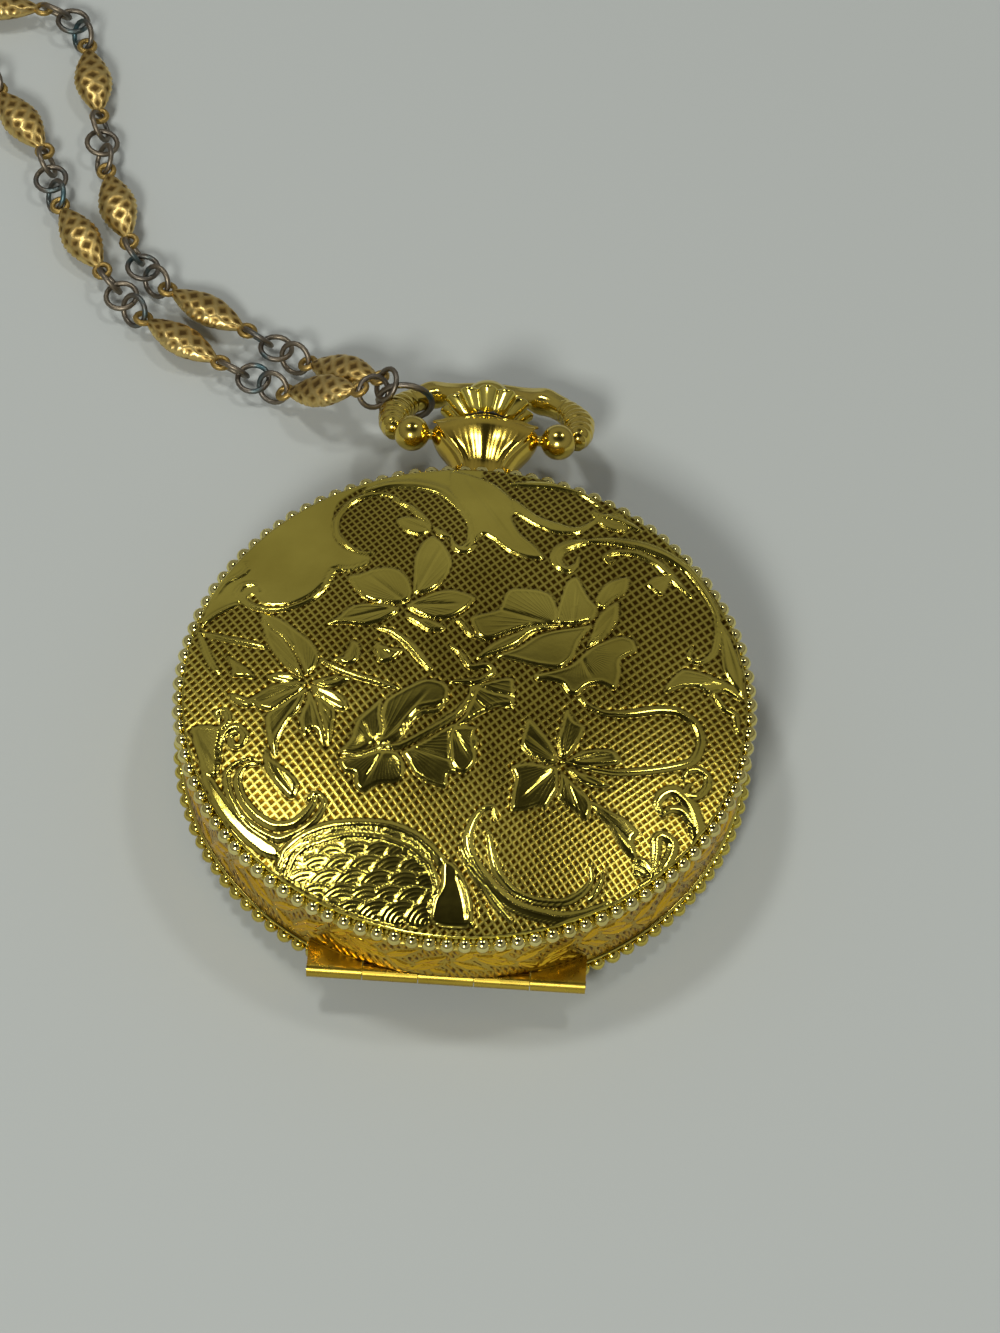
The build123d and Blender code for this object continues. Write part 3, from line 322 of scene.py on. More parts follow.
def torus(major, minor, around, across):
    """A ring: a small circle of points carried round a large one, in the XY plane."""
    a = np.linspace(0, 2 * np.pi, around, endpoint=False)[:, None]
    b = np.linspace(0, 2 * np.pi, across, endpoint=False)[None, :]
    radius = major + minor * np.cos(b)
    points = np.stack([radius * np.cos(a), radius * np.sin(a), minor * np.sin(b) + 0 * a], axis=-1)
    return points.reshape(-1, 3), [grid_faces(around, across, True, True)]


def lens_link(along=52, across=32):
    """A link: an oval section that swells and thins along the link, its skin raised in crossing
    ribs that run both ways round it, with a beaded wire along each edge."""
    u = np.linspace(-1, 1, along)[:, None]
    v = np.linspace(0, 2 * np.pi, across, endpoint=False)[None, :]
    swell = np.clip(1 - np.abs(u) ** 1.7, 0.0, 1.0) ** 0.9
    edge = np.abs(np.cos(v)) ** 14
    ribs = np.maximum(np.cos(15.0 * u + 6.0 * v), np.cos(15.0 * u - 6.0 * v))
    relief = rib_h * ribs * (1 - edge) + edge_wire_h * edge * (1 + 0.6 * np.cos(38.0 * u))
    half_w = link_end_half_w + (link_half_w - link_end_half_w) * swell
    half_t = link_end_half_t + (link_half_t - link_end_half_t) * swell
    round_w = np.sign(np.cos(v)) * np.abs(np.cos(v)) ** 0.8
    round_t = np.sign(np.sin(v)) * np.abs(np.sin(v)) ** 0.8
    x = u * (link_l / 2 - eye_r + 0.1) + 0 * v
    y = (half_w + relief * swell) * round_w
    z = (half_t + relief * swell) * round_t * (1 - 0.3 * edge)
    # hollow is painted shade: darkest in the gaps between the ribs, none on the edge wires.
    hollow = (np.clip(0.5 - 0.5 * ribs * (1 - edge) - 0.6 * edge, 0, 1) + 0 * u).ravel()
    return np.stack([x, y, z], axis=-1).reshape(-1, 3), tube_faces(along, across), hollow


class ChainBuilder:
    """Gathers the points, faces and painted-shade values of links and rings into one mesh: the shade darkens
    the gaps between ribs, the eyes and the rings.
    """

    def __init__(self):
        self.points, self.faces, self.hollow, self.steel, self.count = [], [], [], [], 0

    def add(self, placing, points, faces, hollow, steel):
        """Adds a unit piece, its points carried to their placing."""
        self.points.append(points @ placing[:, :3].T + placing[:, 3])
        self.faces += [f + self.count for f in faces]
        self.hollow.append(hollow + np.zeros(len(points)))
        self.steel.append(np.full(len(points), steel))
        self.count += len(points)

    def add_ring(self, centre, forward, roll_deg, major=ring_r, minor=ring_wire_r):
        """Adds a round ring of wire."""
        # Each ring carries an even painted shade of 0.25.
        self.add(turned_frame(centre, forward, roll_deg), *torus(major, minor, 20, 8), 0.25, 1.0)

    def add_link(self, start, end, roll_deg):
        """Adds a lens-shaped link with an eye at each end."""
        placing = turned_frame((start + end) / 2, end - start, roll_deg)
        self.add(placing, *lens_link(), 0.0)
        for side in (-1, 1):
            eye, quads = torus(eye_r, eye_wire_r, 14, 8)
            # Each eye carries an even painted shade of 0.35.
            self.add(placing, eye + np.array([side * link_l / 2, 0, 0]), quads, 0.35, 0.0)

    def finish(self, name, body):
        """Makes the piece of all that was added."""
        piece = make_piece(name, np.concatenate(self.points), flat(self.faces), body, worn_and_shaded_gold)
        add_attribute(piece, "hollow", np.concatenate(self.hollow))
        add_attribute(piece, "steel", np.concatenate(self.steel))
        return piece


def read_attribute(material, name):
    """The value that a mesh stores for its points under that name."""
    return node(material, "ShaderNodeAttribute", attribute_name=name).outputs["Fac"]


def math_node(material, operation, *values, clamp=False):
    """A calculation on values that are outputs or numbers."""
    made = node(material, "ShaderNodeMath", operation=operation, use_clamp=clamp)
    for value, target in zip(values, made.inputs):
        wire(material, value, target)
    return made.outputs[0]


def mixed(material, factor, first, second, blend="MIX"):
    """Two colours, outputs or plain ones, mixed by a factor."""
    made = node(material, "ShaderNodeMix", data_type="RGBA", blend_type=blend)
    for value, target in ((factor, made.inputs["Factor"]), (first, made.inputs[6]), (second, made.inputs[7])):
        wire(material, value, target)
    return made.outputs[2]


def spread(material, value, low, high, from_low=0.0, from_high=1.0):
    """A value between from_low and from_high spread between low and high."""
    made = node(material, "ShaderNodeMapRange", in_From_Min=from_low, in_From_Max=from_high,
                in_To_Min=low, in_To_Max=high)
    wire(material, value, made.inputs["Value"])
    return made.outputs["Result"]


def bump(material, height, strength, distance, under=None):
    """Small relief from a height value, the distance in millimetres, laid over another relief."""
    made = node(material, "ShaderNodeBump", in_Strength=strength, in_Distance=distance * mm)
    wire(material, height, made.inputs["Height"])
    if under is not None:
        wire(material, under, made.inputs["Normal"])
    return made.outputs["Normal"]


# The chain's gold is darkened by random noise as wear and by painted shade from the hollow values, in the
# gaps between ribs, the eyes and the rings; the same sum sets the roughness.
worn_and_shaded_gold = new_material("worn_and_shaded_chain_gold", (0.55, 0.38, 0.17), metallic=1.0, roughness=0.34)
shade_and_wear = math_node(worn_and_shaded_gold, "MULTIPLY_ADD", object_noise(worn_and_shaded_gold, 0.9), 0.55,
                  read_attribute(worn_and_shaded_gold, "hollow"), clamp=True)
gold_colour = ramp(worn_and_shaded_gold, shade_and_wear, (
    (0.15, (0.80, 0.60, 0.22)), (0.6, (0.46, 0.31, 0.09)), (1.0, (0.15, 0.09, 0.025))))
steel_colour = ramp(worn_and_shaded_gold, object_noise(worn_and_shaded_gold, 0.35, 2.0), (
    (0.42, (0.24, 0.20, 0.14)), (0.56, (0.17, 0.15, 0.12)), (0.66, (0.10, 0.17, 0.18))))
chain_colour = mixed(worn_and_shaded_gold, read_attribute(worn_and_shaded_gold, "steel"), gold_colour, steel_colour)
wire(worn_and_shaded_gold, chain_colour, shader_input(worn_and_shaded_gold, "Base Color"))
wire(worn_and_shaded_gold, spread(worn_and_shaded_gold, shade_and_wear, 0.24, 0.62), shader_input(worn_and_shaded_gold, "Roughness"))
wire(worn_and_shaded_gold, bump(worn_and_shaded_gold, object_noise(worn_and_shaded_gold, 5.0), 0.35, 0.03), shader_input(worn_and_shaded_gold, "Normal"))

line = spline_points(chain_route())
line_length = float(np.linalg.norm(np.diff(line, axis=0), axis=1).sum())
repeat_l = link_l + 2 * ring_reach + 2 * ring_pitch
repeats = round((line_length - link_l) / repeat_l)
pace = (line_length - link_l) / (repeats * repeat_l)
joints = np.array([0.0, link_l, link_l + ring_reach, link_l + ring_reach + ring_pitch,
                   link_l + ring_reach + 2 * ring_pitch, repeat_l])
chain = ChainBuilder()
for index in range(repeats + 1):
    spots = np.minimum(index * repeat_l * pace + joints, line_length)
    places = places_along(line, spots)
    chain.add_link(places[0], places[1], link_roll * math.sin(index * 2.1))
    if index < repeats:
        for ring, roll_deg in enumerate(ring_rolls, start=2):
            chain.add_ring(places[ring], places[ring + 1] - places[ring - 1], roll_deg)
for eye, hold_deg, roll_deg in ((upper_route[0], 125.0, 50.0), (lower_route[0], 155.0, 45.0)):
    angle = math.radians(hold_deg)
    hold = bow_ring_at + bow_ring_r * np.array([math.cos(angle), 0.0, math.sin(angle)])
    pull = (hold - np.array(eye)) / np.linalg.norm(hold - np.array(eye))
    chain.add_ring(np.array(eye) + pull * ring_reach, pull, roll_deg)
chain_piece = chain.finish("chain", None)
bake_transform(chain_piece)
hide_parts("chain_strand_upper", "chain_strand_lower", "chain_coil")
large_ring = ChainBuilder()
large_ring.add_ring(bow_ring_at, np.array([1.0, 0.0, 0.0]), 90.0, bow_ring_r, bow_ring_wire_r)
bow_ring = large_ring.finish("bow_ring", "bow_body")
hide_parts("chain_bow_links")

# The back cover: a thin domed shell of gold-filled plate, snapped on the case, its field
# engraved by hand with roses, leaves and scrolls over a fine net cut ground. Its outlines
# are x and y by turns, in tenths of a millimetre from the middle, +y towards the pendant.
back_top = 9.5
dome_edge_r = 17.59
dome_drop = 1.7
field_r = 17.25
relief_h = 0.085
net_pitch = 0.43
net_depth = 0.012
cover_grid = 286
cover_plate_t = 0.4
leaf_rim_h = 0.015
vein_depth = 0.045
lobe_depth = 0.012
groove_depth = 0.03
scroll_line_pitch = 0.2
ray_count = 32.0
thread_sharpness = 4.5
ray_sharpness = 6.0
pit_level = 1.22
# Painted shade: the colours that darken the net's pits and the lines cut below the field, and the depth at
# which that shade is full.
pit_shade_colour = (0.12, 0.075, 0.02, 1.0)
cut_line_shade_colour = (0.12, 0.06, 0.01, 1.0)
low_line_at = -0.35
net_matt = 0.15
engraved_roughness = 0.11
line_keys = ("net_a", "net_b", "net", "rays", "ray_gain", "raised")
shell_r = 1.5
shell_row = 0.95
shell_pitch = 0.3
shell_gain = 5.0
rim_steps = 208
back_rim_z = 6.6
back_bead_z = 7.26
bead_ring_r = 17.42
bead_r = 0.5
bead_count = 104
# Plain areas.
back_blanks = [
    [-165, 41, -160, 65, -150, 89, -137, 114, -118, 136, -94, 155, -68, 168, -56, 171, -60, 156, -77, 149,
        -88, 137, -90, 122, -88, 109, -80, 99, -66, 94, -65, 87, -76, 82, -86, 83, -90, 73, -98, 62, -111,
        54, -127, 54, -135, 62, -141, 57],
    [-68, 168, -45, 174, -22, 176, -1, 179, 0, 162, -16, 151, -30, 157, -46, 159, -60, 156],
]
# Leaves and petals: the place that the rays spread from, and the outline.
back_leaves = [
    ((-27, 115), [-51, 124, -44, 128, -34, 125, -28, 117, -35, 112, -44, 114]),
    ((-28, 119), [-28, 120, -21, 117, -14, 111, -23, 111]),
    ((-40, 57), [-39, 58, -48, 55, -58, 56, -67, 60, -74, 69, -77, 77, -70, 79, -63, 83, -54, 85, -46, 83,
        -40, 76, -37, 67]),
    ((-38, 57), [-36, 65, -37, 79, -37, 95, -33, 107, -27, 112, -20, 106, -14, 92, -16, 80, -22, 70, -29,
        65]),
    ((-41, 55), [-40, 55, -32, 61, -23, 67, -11, 69, 2, 64, -3, 54, -12, 47, -23, 45, -32, 48]),
    ((-41, 53), [-40, 50, -32, 46, -25, 45, -15, 40, -17, 36, -26, 36, -34, 41, -39, 45]),
    ((-42, 54), [-44, 53, -53, 55, -64, 56, -74, 53, -81, 45, -87, 39, -76, 39, -64, 38, -54, 42, -46, 48]),
    ((-96, -2), [-97, -1, -102, 11, -112, 26, -122, 36, -130, 48, -118, 44, -107, 35, -97, 26, -91, 16, -92,
        7]),
    ((-96, -2), [-99, -2, -105, 14, -114, 28, -122, 36, -129, 46, -125, 30, -119, 17, -111, 7]),
    ((-96, -6), [-97, -6, -107, -4, -117, -7, -125, -13, -132, -18, -124, -24, -116, -26, -108, -22, -101,
        -15]),
    ((-126, -22), [-143, -13, -135, -15, -126, -22, -134, -23, -141, -18]),
    ((-96, -7), [-96, -9, -99, -24, -105, -33, -110, -46, -111, -60, -116, -49, -119, -36, -119, -28, -111,
        -22, -102, -14]),
    ((-96, -7), [-95, -10, -89, -22, -84, -37, -82, -52, -87, -42, -91, -39, -94, -44, -98, -37, -99, -30,
        -96, -20]),
    ((-96, -7), [-94, -9, -85, -13, -78, -22, -78, -38, -80, -51, -85, -33, -90, -18]),
    ((-96, -7), [-94, -7, -84, -9, -75, -14, -70, -22, -73, -26, -79, -23, -88, -16]),
    ((-96, -5), [-100, -3, -110, 2, -121, 0, -118, -4, -108, -6]),
    ((-96, -6), [-94, -5, -87, -2, -80, 0, -70, -1, -76, -7, -85, -9]),
    ((-59, 28), [-57, 27, -51, 23, -40, 21, -45, 13, -53, 10, -56, 17]),
    ((-71, 28), [-82, 13, -75, 15, -71, 27, -66, 22, -67, 11, -74, 8]),
    ((-148, 18), [-148, 17, -140, 10, -134, 6, -128, -2, -136, -1, -143, 0, -143, 6]),
    ((54, 47), [0, 47, 5, 51, 17, 56, 20, 67, 24, 73, 39, 74, 48, 71, 53, 61, 53, 48, 40, 45, 26, 39, 12, 32,
        5, 35]),
    ((63, 40), [54, 48, 53, 59, 55, 71, 58, 83, 64, 87, 69, 77, 73, 70, 78, 64, 75, 54, 64, 49]),
    ((73, 45), [78, 64, 76, 70, 79, 79, 84, 86, 96, 92, 95, 79, 88, 72, 82, 64]),
    ((68, 29), [75, 44, 77, 54, 81, 62, 90, 71, 90, 59, 86, 47, 80, 40, 72, 32]),
    (None, [16, 20, 30, 28, 41, 38, 51, 43, 64, 47, 75, 50, 68, 37, 65, 25, 59, 16, 53, 14, 40, 15, 27, 18]),
    (None, [5, 17, 13, 28, 25, 37, 39, 45, 51, 47, 64, 49, 51, 45, 39, 40, 29, 29, 15, 21]),
    ((68, 27), [42, 9, 53, 13, 64, 19, 74, 32, 83, 39, 93, 44, 101, 42, 103, 34, 94, 26, 94, 15, 91, 3, 82,
        6, 74, 3, 68, -4, 62, -3, 58, 3, 50, 5, 43, 4]),
    ((-10, 4), [3, -4, 16, 2, 28, 5, 30, -6, 30, -18, 21, -17, 12, -22, 1, -22, 3, -12]),
    ((126, 99), [107, 88, 112, 95, 122, 98, 121, 90, 117, 80, 111, 83]),
    ((-10, 165), [-20, 170, -7, 168, 8, 161, 19, 150, 28, 139, 21, 133, 27, 119, 37, 109, 43, 99, 33, 98, 21,
        102, 11, 111, 4, 115, -1, 109, -4, 125, -11, 138, -19, 155]),
    ((19, 151), [21, 149, 36, 136, 49, 131, 63, 129, 76, 141, 73, 133, 64, 123, 49, 121, 36, 126, 23, 136]),
    ((165, 21), [121, 5, 124, 15, 132, 25, 143, 25, 154, 22, 164, 19, 169, 8, 158, 13, 148, 9, 142, 13, 132,
        11]),
    ((154, 69), [153, 69, 159, 58, 165, 43, 169, 30, 170, 11, 163, 19, 157, 29, 155, 43]),
    ((61, -54), [59, -52, 54, -40, 47, -31, 39, -23, 38, -30, 36, -43, 42, -50, 52, -55]),
    ((61, -54), [60, -50, 58, -37, 60, -26, 62, -14, 68, -23, 74, -26, 71, -38, 65, -48]),
    ((61, -54), [64, -52, 71, -45, 81, -41, 92, -41, 97, -49, 87, -52, 75, -54]),
    ((61, -54), [64, -56, 75, -59, 83, -61, 92, -66, 82, -68, 72, -65]),
    ((61, -54), [58, -56, 52, -56, 41, -55, 31, -59, 34, -67, 33, -76, 33, -89, 43, -87, 49, -84, 53, -87,
        56, -81, 60, -72, 60, -63]),
    ((61, -54), [61, -59, 68, -66, 79, -76, 81, -83, 78, -91, 72, -86, 66, -82, 60, -77, 61, -68]),
    ((79, -76), [80, -77, 89, -81, 102, -87, 110, -95, 107, -100, 110, -113, 104, -110, 98, -103, 91, -92,
        83, -85]),
    ((81, -143), [81, -143, 85, -133, 91, -122, 90, -132, 86, -141]),
    ((-120, -50), [-119, -50, -114, -59, -101, -70, -96, -77, -97, -85, -101, -87, -110, -77, -117, -66]),
    (None, [-159, -52, -150, -69, -138, -88, -123, -106, -105, -119, -104, -127, -115, -124, -131, -110,
        -144, -94, -154, -74]),
    ((-164, -34), [-164, -36, -146, -37, -146, -53, -145, -70, -152, -70, -159, -55]),
    (None, [-6, -125, 2, -128, 10, -141, 14, -156, 12, -166, -3, -167, -11, -163, -10, -150, -6, -141]),
    ((-50, -50), [-50, -28, -48, -17, -38, -8, -25, 0, -15, -1, -10, -6, -11, -16, -17, -19, -26, -22, -32,
        -30, -36, -40, -46, -48, -52, -50, -48, -38]),
    ((-52, -51), [-73, -56, -67, -45, -64, -32, -56, -22, -50, -15, -50, -27, -48, -39, -53, -49, -62, -55]),
    ((-46, -51), [-73, -60, -60, -57, -50, -53, -39, -53, -34, -59, -33, -71, -39, -75, -48, -76, -57, -82,
        -62, -78, -63, -70, -70, -68]),
    ((-37, -48), [-35, -53, -22, -44, -7, -32, 3, -31, 10, -42, 8, -56, 1, -64, -6, -68, -7, -77, -18, -74,
        -27, -68, -32, -59]),
    ((-10, 5), [-5, -33, 0, -25, 4, -15, 7, -3, 15, -6, 29, -9, 30, -15, 21, -17, 12, -22, 2, -30]),
    ((-7, -33), [-7, -36, -1, -33, 8, -33, 7, -43, 10, -56, 4, -66, -2, -64, -6, -57]),
]
# Scrolls: half width at the start and at the end in millimetres, and the line.
back_scrolls = [
    (0.22, 0.16, [-131, 65, -134, 70, -141, 70, -144, 63, -136, 54, -123, 50, -110, 52, -98, 59, -90, 70,
        -86, 81, -76, 82, -66, 87]),
    (0.2, 0.12, [-141, 88, -140, 83, -144, 78, -153, 72, -159, 59]),
    (0.2, 0.5, [-16, 113, -14, 106, -8, 103, -3, 110, -3, 124, -11, 140, -23, 152, -39, 157, -57, 156, -72,
        149]),
    (0.2, 0.2, [-50, 142, -59, 147, -72, 145, -82, 137, -88, 125, -87, 112, -80, 102, -71, 96, -63, 96]),
    (0.12, 0.2, [-54, 142, -44, 137, -36, 129, -29, 120]),
    (0.2, 0.2, [-165, 34, -151, 29, -137, 25, -123, 21]),
    (0.16, 0.2, [-90, 12, -80, 6, -69, 1, -56, -3, -41, -8]),
    (0.14, 0.26, [-57, 37, -47, 34, -37, 26, -29, 16, -22, 7]),
    (0.14, 0.2, [-167, 37, -161, 21, -156, 10, -151, 3]),
    (0.12, 0.12, [-165, 39, -156, 48, -144, 55]),
    (0.3, 0.16, [-164, -39, -153, -39, -145, -37, -142, -31, -145, -25, -150, -26, -147, -32]),
    (0.16, 0.2, [-145, -63, -146, -49, -142, -39, -136, -37, -131, -43, -133, -50, -138, -50, -140, -44,
        -136, -42]),
    (0.12, 0.12, [72, 32, 82, 42, 89, 55, 90, 70]),
    (0.16, 0.2, [-11, 26, -4, 20, 2, 11, 12, 13, 16, 8, 8, 1, 0, 0, -9, -1]),
    (0.1, 0.14, [-12, 46, -6, 44, 1, 35, 12, 32]),
    (0.2, 0.4, [64, 103, 63, 97, 58, 92, 53, 94, 50, 101, 53, 109, 61, 114, 71, 118]),
    (0.55, 0.22, [71, 118, 86, 120, 103, 119, 119, 114, 133, 104, 143, 89, 151, 73, 153, 57, 151, 42, 145,
        34, 139, 32, 135, 36, 137, 42]),
    (0.16, 0.3, [87, 104, 83, 102, 80, 106, 87, 111, 100, 112, 113, 106, 124, 94, 135, 83]),
    (0.18, 0.18, [-15, 109, -12, 102, -6, 101, 0, 106]),
    (0.18, 0.3, [77, 147, 65, 158, 49, 163, 33, 163, 18, 161]),
    (0.3, 0.2, [102, 132, 89, 139, 79, 141, 74, 138]),
    (0.1, 0.16, [155, 96, 162, 76, 167, 52, 170, 29]),
    (0.3, 0.24, [70, -6, 76, -11, 86, -15, 101, -13, 117, -8, 130, -7, 141, -14, 145, -26, 141, -40, 128,
        -47, 113, -52, 94, -56, 78, -55, 62, -52]),
    (0.2, 0.4, [24, -96, 22, -88, 16, -89, 11, -97, 8, -108, 10, -119, 17, -131, 27, -142, 38, -150, 52,
        -154, 67, -155, 80, -151, 94, -143]),
    (0.3, 0.2, [20, -105, 23, -118, 27, -130, 37, -141, 51, -146, 68, -145, 78, -138, 83, -130, 82, -120]),
    (0.24, 0.5, [124, -81, 120, -74, 123, -67, 130, -63, 138, -69, 143, -80, 146, -93, 144, -103]),
    (0.2, 0.2, [135, -54, 138, -48, 144, -46, 150, -50, 149, -59, 143, -65, 137, -63, 139, -57]),
    (0.24, 0.3, [120, -119, 121, -107, 121, -97, 125, -94, 131, -99, 129, -109, 122, -122, 112, -130]),
    (0.16, 0.3, [123, -81, 128, -76, 136, -76, 142, -85]),
    (0.12, 0.2, [150, 13, 158, 1, 165, -3, 167, -15]),
    (0.2, 0.3, [-121, -63, -129, -64, -133, -74, -129, -87, -120, -98, -109, -105, -97, -104, -89, -96, -85,
        -88, -87, -83]),
    (0.2, 0.22, [-125, -59, -135, -63, -140, -70, -137, -84, -129, -98, -118, -108, -105, -114, -92, -108,
        -84, -101, -79, -90, -85, -83, -89, -88]),
    (0.3, 0.3, [-104, -133, -101, -122, -91, -112, -75, -105, -57, -103, -39, -104, -22, -111, -9, -123, 1,
        -136, 10, -152, 14, -165]),
    (0.24, 0.24, [-98, -137, -92, -123, -78, -115, -62, -111, -44, -112, -27, -118, -14, -129, -9, -140, -9,
        -148, -12, -155]),
    (0.2, 0.2, [4, -115, 10, -128, 20, -141, 29, -152, 37, -160]),
    (0.18, 0.22, [-71, -58, -60, -56, -50, -51, -37, -49, -25, -41, -13, -32, -2, -22, 4, -9, 4, 1]),
    (0.14, 0.16, [-46, -49, -37, -41, -32, -32, -25, -24, -16, -22, -10, -13]),
]
# Cut lines, the area of feathered shells, and fans: middle, radius, first and last angle.
back_cuts = [
    [-2, -122, 8, -134, 14, -147, 18, -164],
    [4, -121, 15, -135, 23, -149, 27, -163],
    [2, -131, 7, -144, 10, -155, 11, -165],
]
back_shell_area = [-104, -133, -101, -122, -91, -113, -75, -107, -57, -105, -39, -107, -23, -114, -12, -126,
    -10, -144, -13, -169, -40, -166, -72, -155, -94, -143]
back_fans = [
    ((10.9, -12.4), 1.4, 10.0, 100.0), ((8.8, 14.6), 1.8, 190.0, 300.0), ((-15.6, -4.6), 1.2, -80.0, 10.0),
]


def tenths(numbers):
    """Points in millimetres from x and y by turns in tenths of a millimetre."""
    return np.array(numbers, dtype=float).reshape(-1, 2) / 10


def smooth_step(value):
    """0 below 0, 1 above 1, and 3v^2 - 2v^3 between."""
    v = np.clip(value, 0.0, 1.0)
    return v * v * (3.0 - 2.0 * v)


def rounded_line(points, closed=False, steps=4):
    """A smooth line through points: each span is a cubic whose end slopes come from the neighbours."""
    p = np.array(points, dtype=float)
    if closed:
        before, after, after2 = np.roll(p, 1, 0), np.roll(p, -1, 0), np.roll(p, -2, 0)
        start = p
    else:
        ends = np.vstack([2 * p[0] - p[1], p, 2 * p[-1] - p[-2]])
        before, start, after, after2 = ends[:-3], ends[1:-2], ends[2:-1], ends[3:]
    t = np.linspace(0.0, 1.0, steps, endpoint=False)[:, None, None]
    slope0, slope1 = (after - before) / 2.6, (after2 - start) / 2.6
    line = ((2 * t**3 - 3 * t**2 + 1) * start + (t**3 - 2 * t**2 + t) * slope0
            + (3 * t**2 - 2 * t**3) * after + (t**3 - t**2) * slope1)
    line = line.transpose(1, 0, 2).reshape(-1, 2)
    return np.vstack([line, line[0] if closed else p[-1]])


def line_distance(x, y, line):
    """For each point the least distance to a line, and the share of the line's length where it lies."""
    a, b = line[:-1], line[1:]
    run = b - a
    length = np.maximum(np.hypot(run[:, 0], run[:, 1]), 1e-9)
    along = np.concatenate([[0.0], np.cumsum(length)])
    dx, dy = x[:, None] - a[:, 0], y[:, None] - a[:, 1]
    t = np.clip((dx * run[:, 0] + dy * run[:, 1]) / length**2, 0.0, 1.0)
    away = np.hypot(dx - t * run[:, 0], dy - t * run[:, 1])
    nearest = away.argmin(axis=1)
    row = np.arange(len(x))
    share = (along[nearest] + t[row, nearest] * length[nearest]) / along[-1]
    return away[row, nearest], share


def inside(x, y, line):
    """Whether each point lies within a closed line: a ray from it crosses the line an odd number of times."""
    (x0, y0), (x1, y1) = line[:-1].T, line[1:].T
    spans = (y0 > y[:, None]) != (y1 > y[:, None])
    with np.errstate(divide="ignore", invalid="ignore"):
        cross = x0 + (y[:, None] - y0) * (x1 - x0) / (y1 - y0)
    return (spans & (x[:, None] < cross)).sum(axis=1) % 2 == 1


def dent(value, middle, width):
    """A bell curve of a value: 1 at its middle, e^-1 at one width from it."""
    return np.exp(-((value - middle) / width) ** 2)


def turned_from(dx, dy, ahead):
    """The angle of each offset, counted from the direction ahead."""
    return np.arctan2(dy * ahead[0] - dx * ahead[1], dx * ahead[0] + dy * ahead[1])


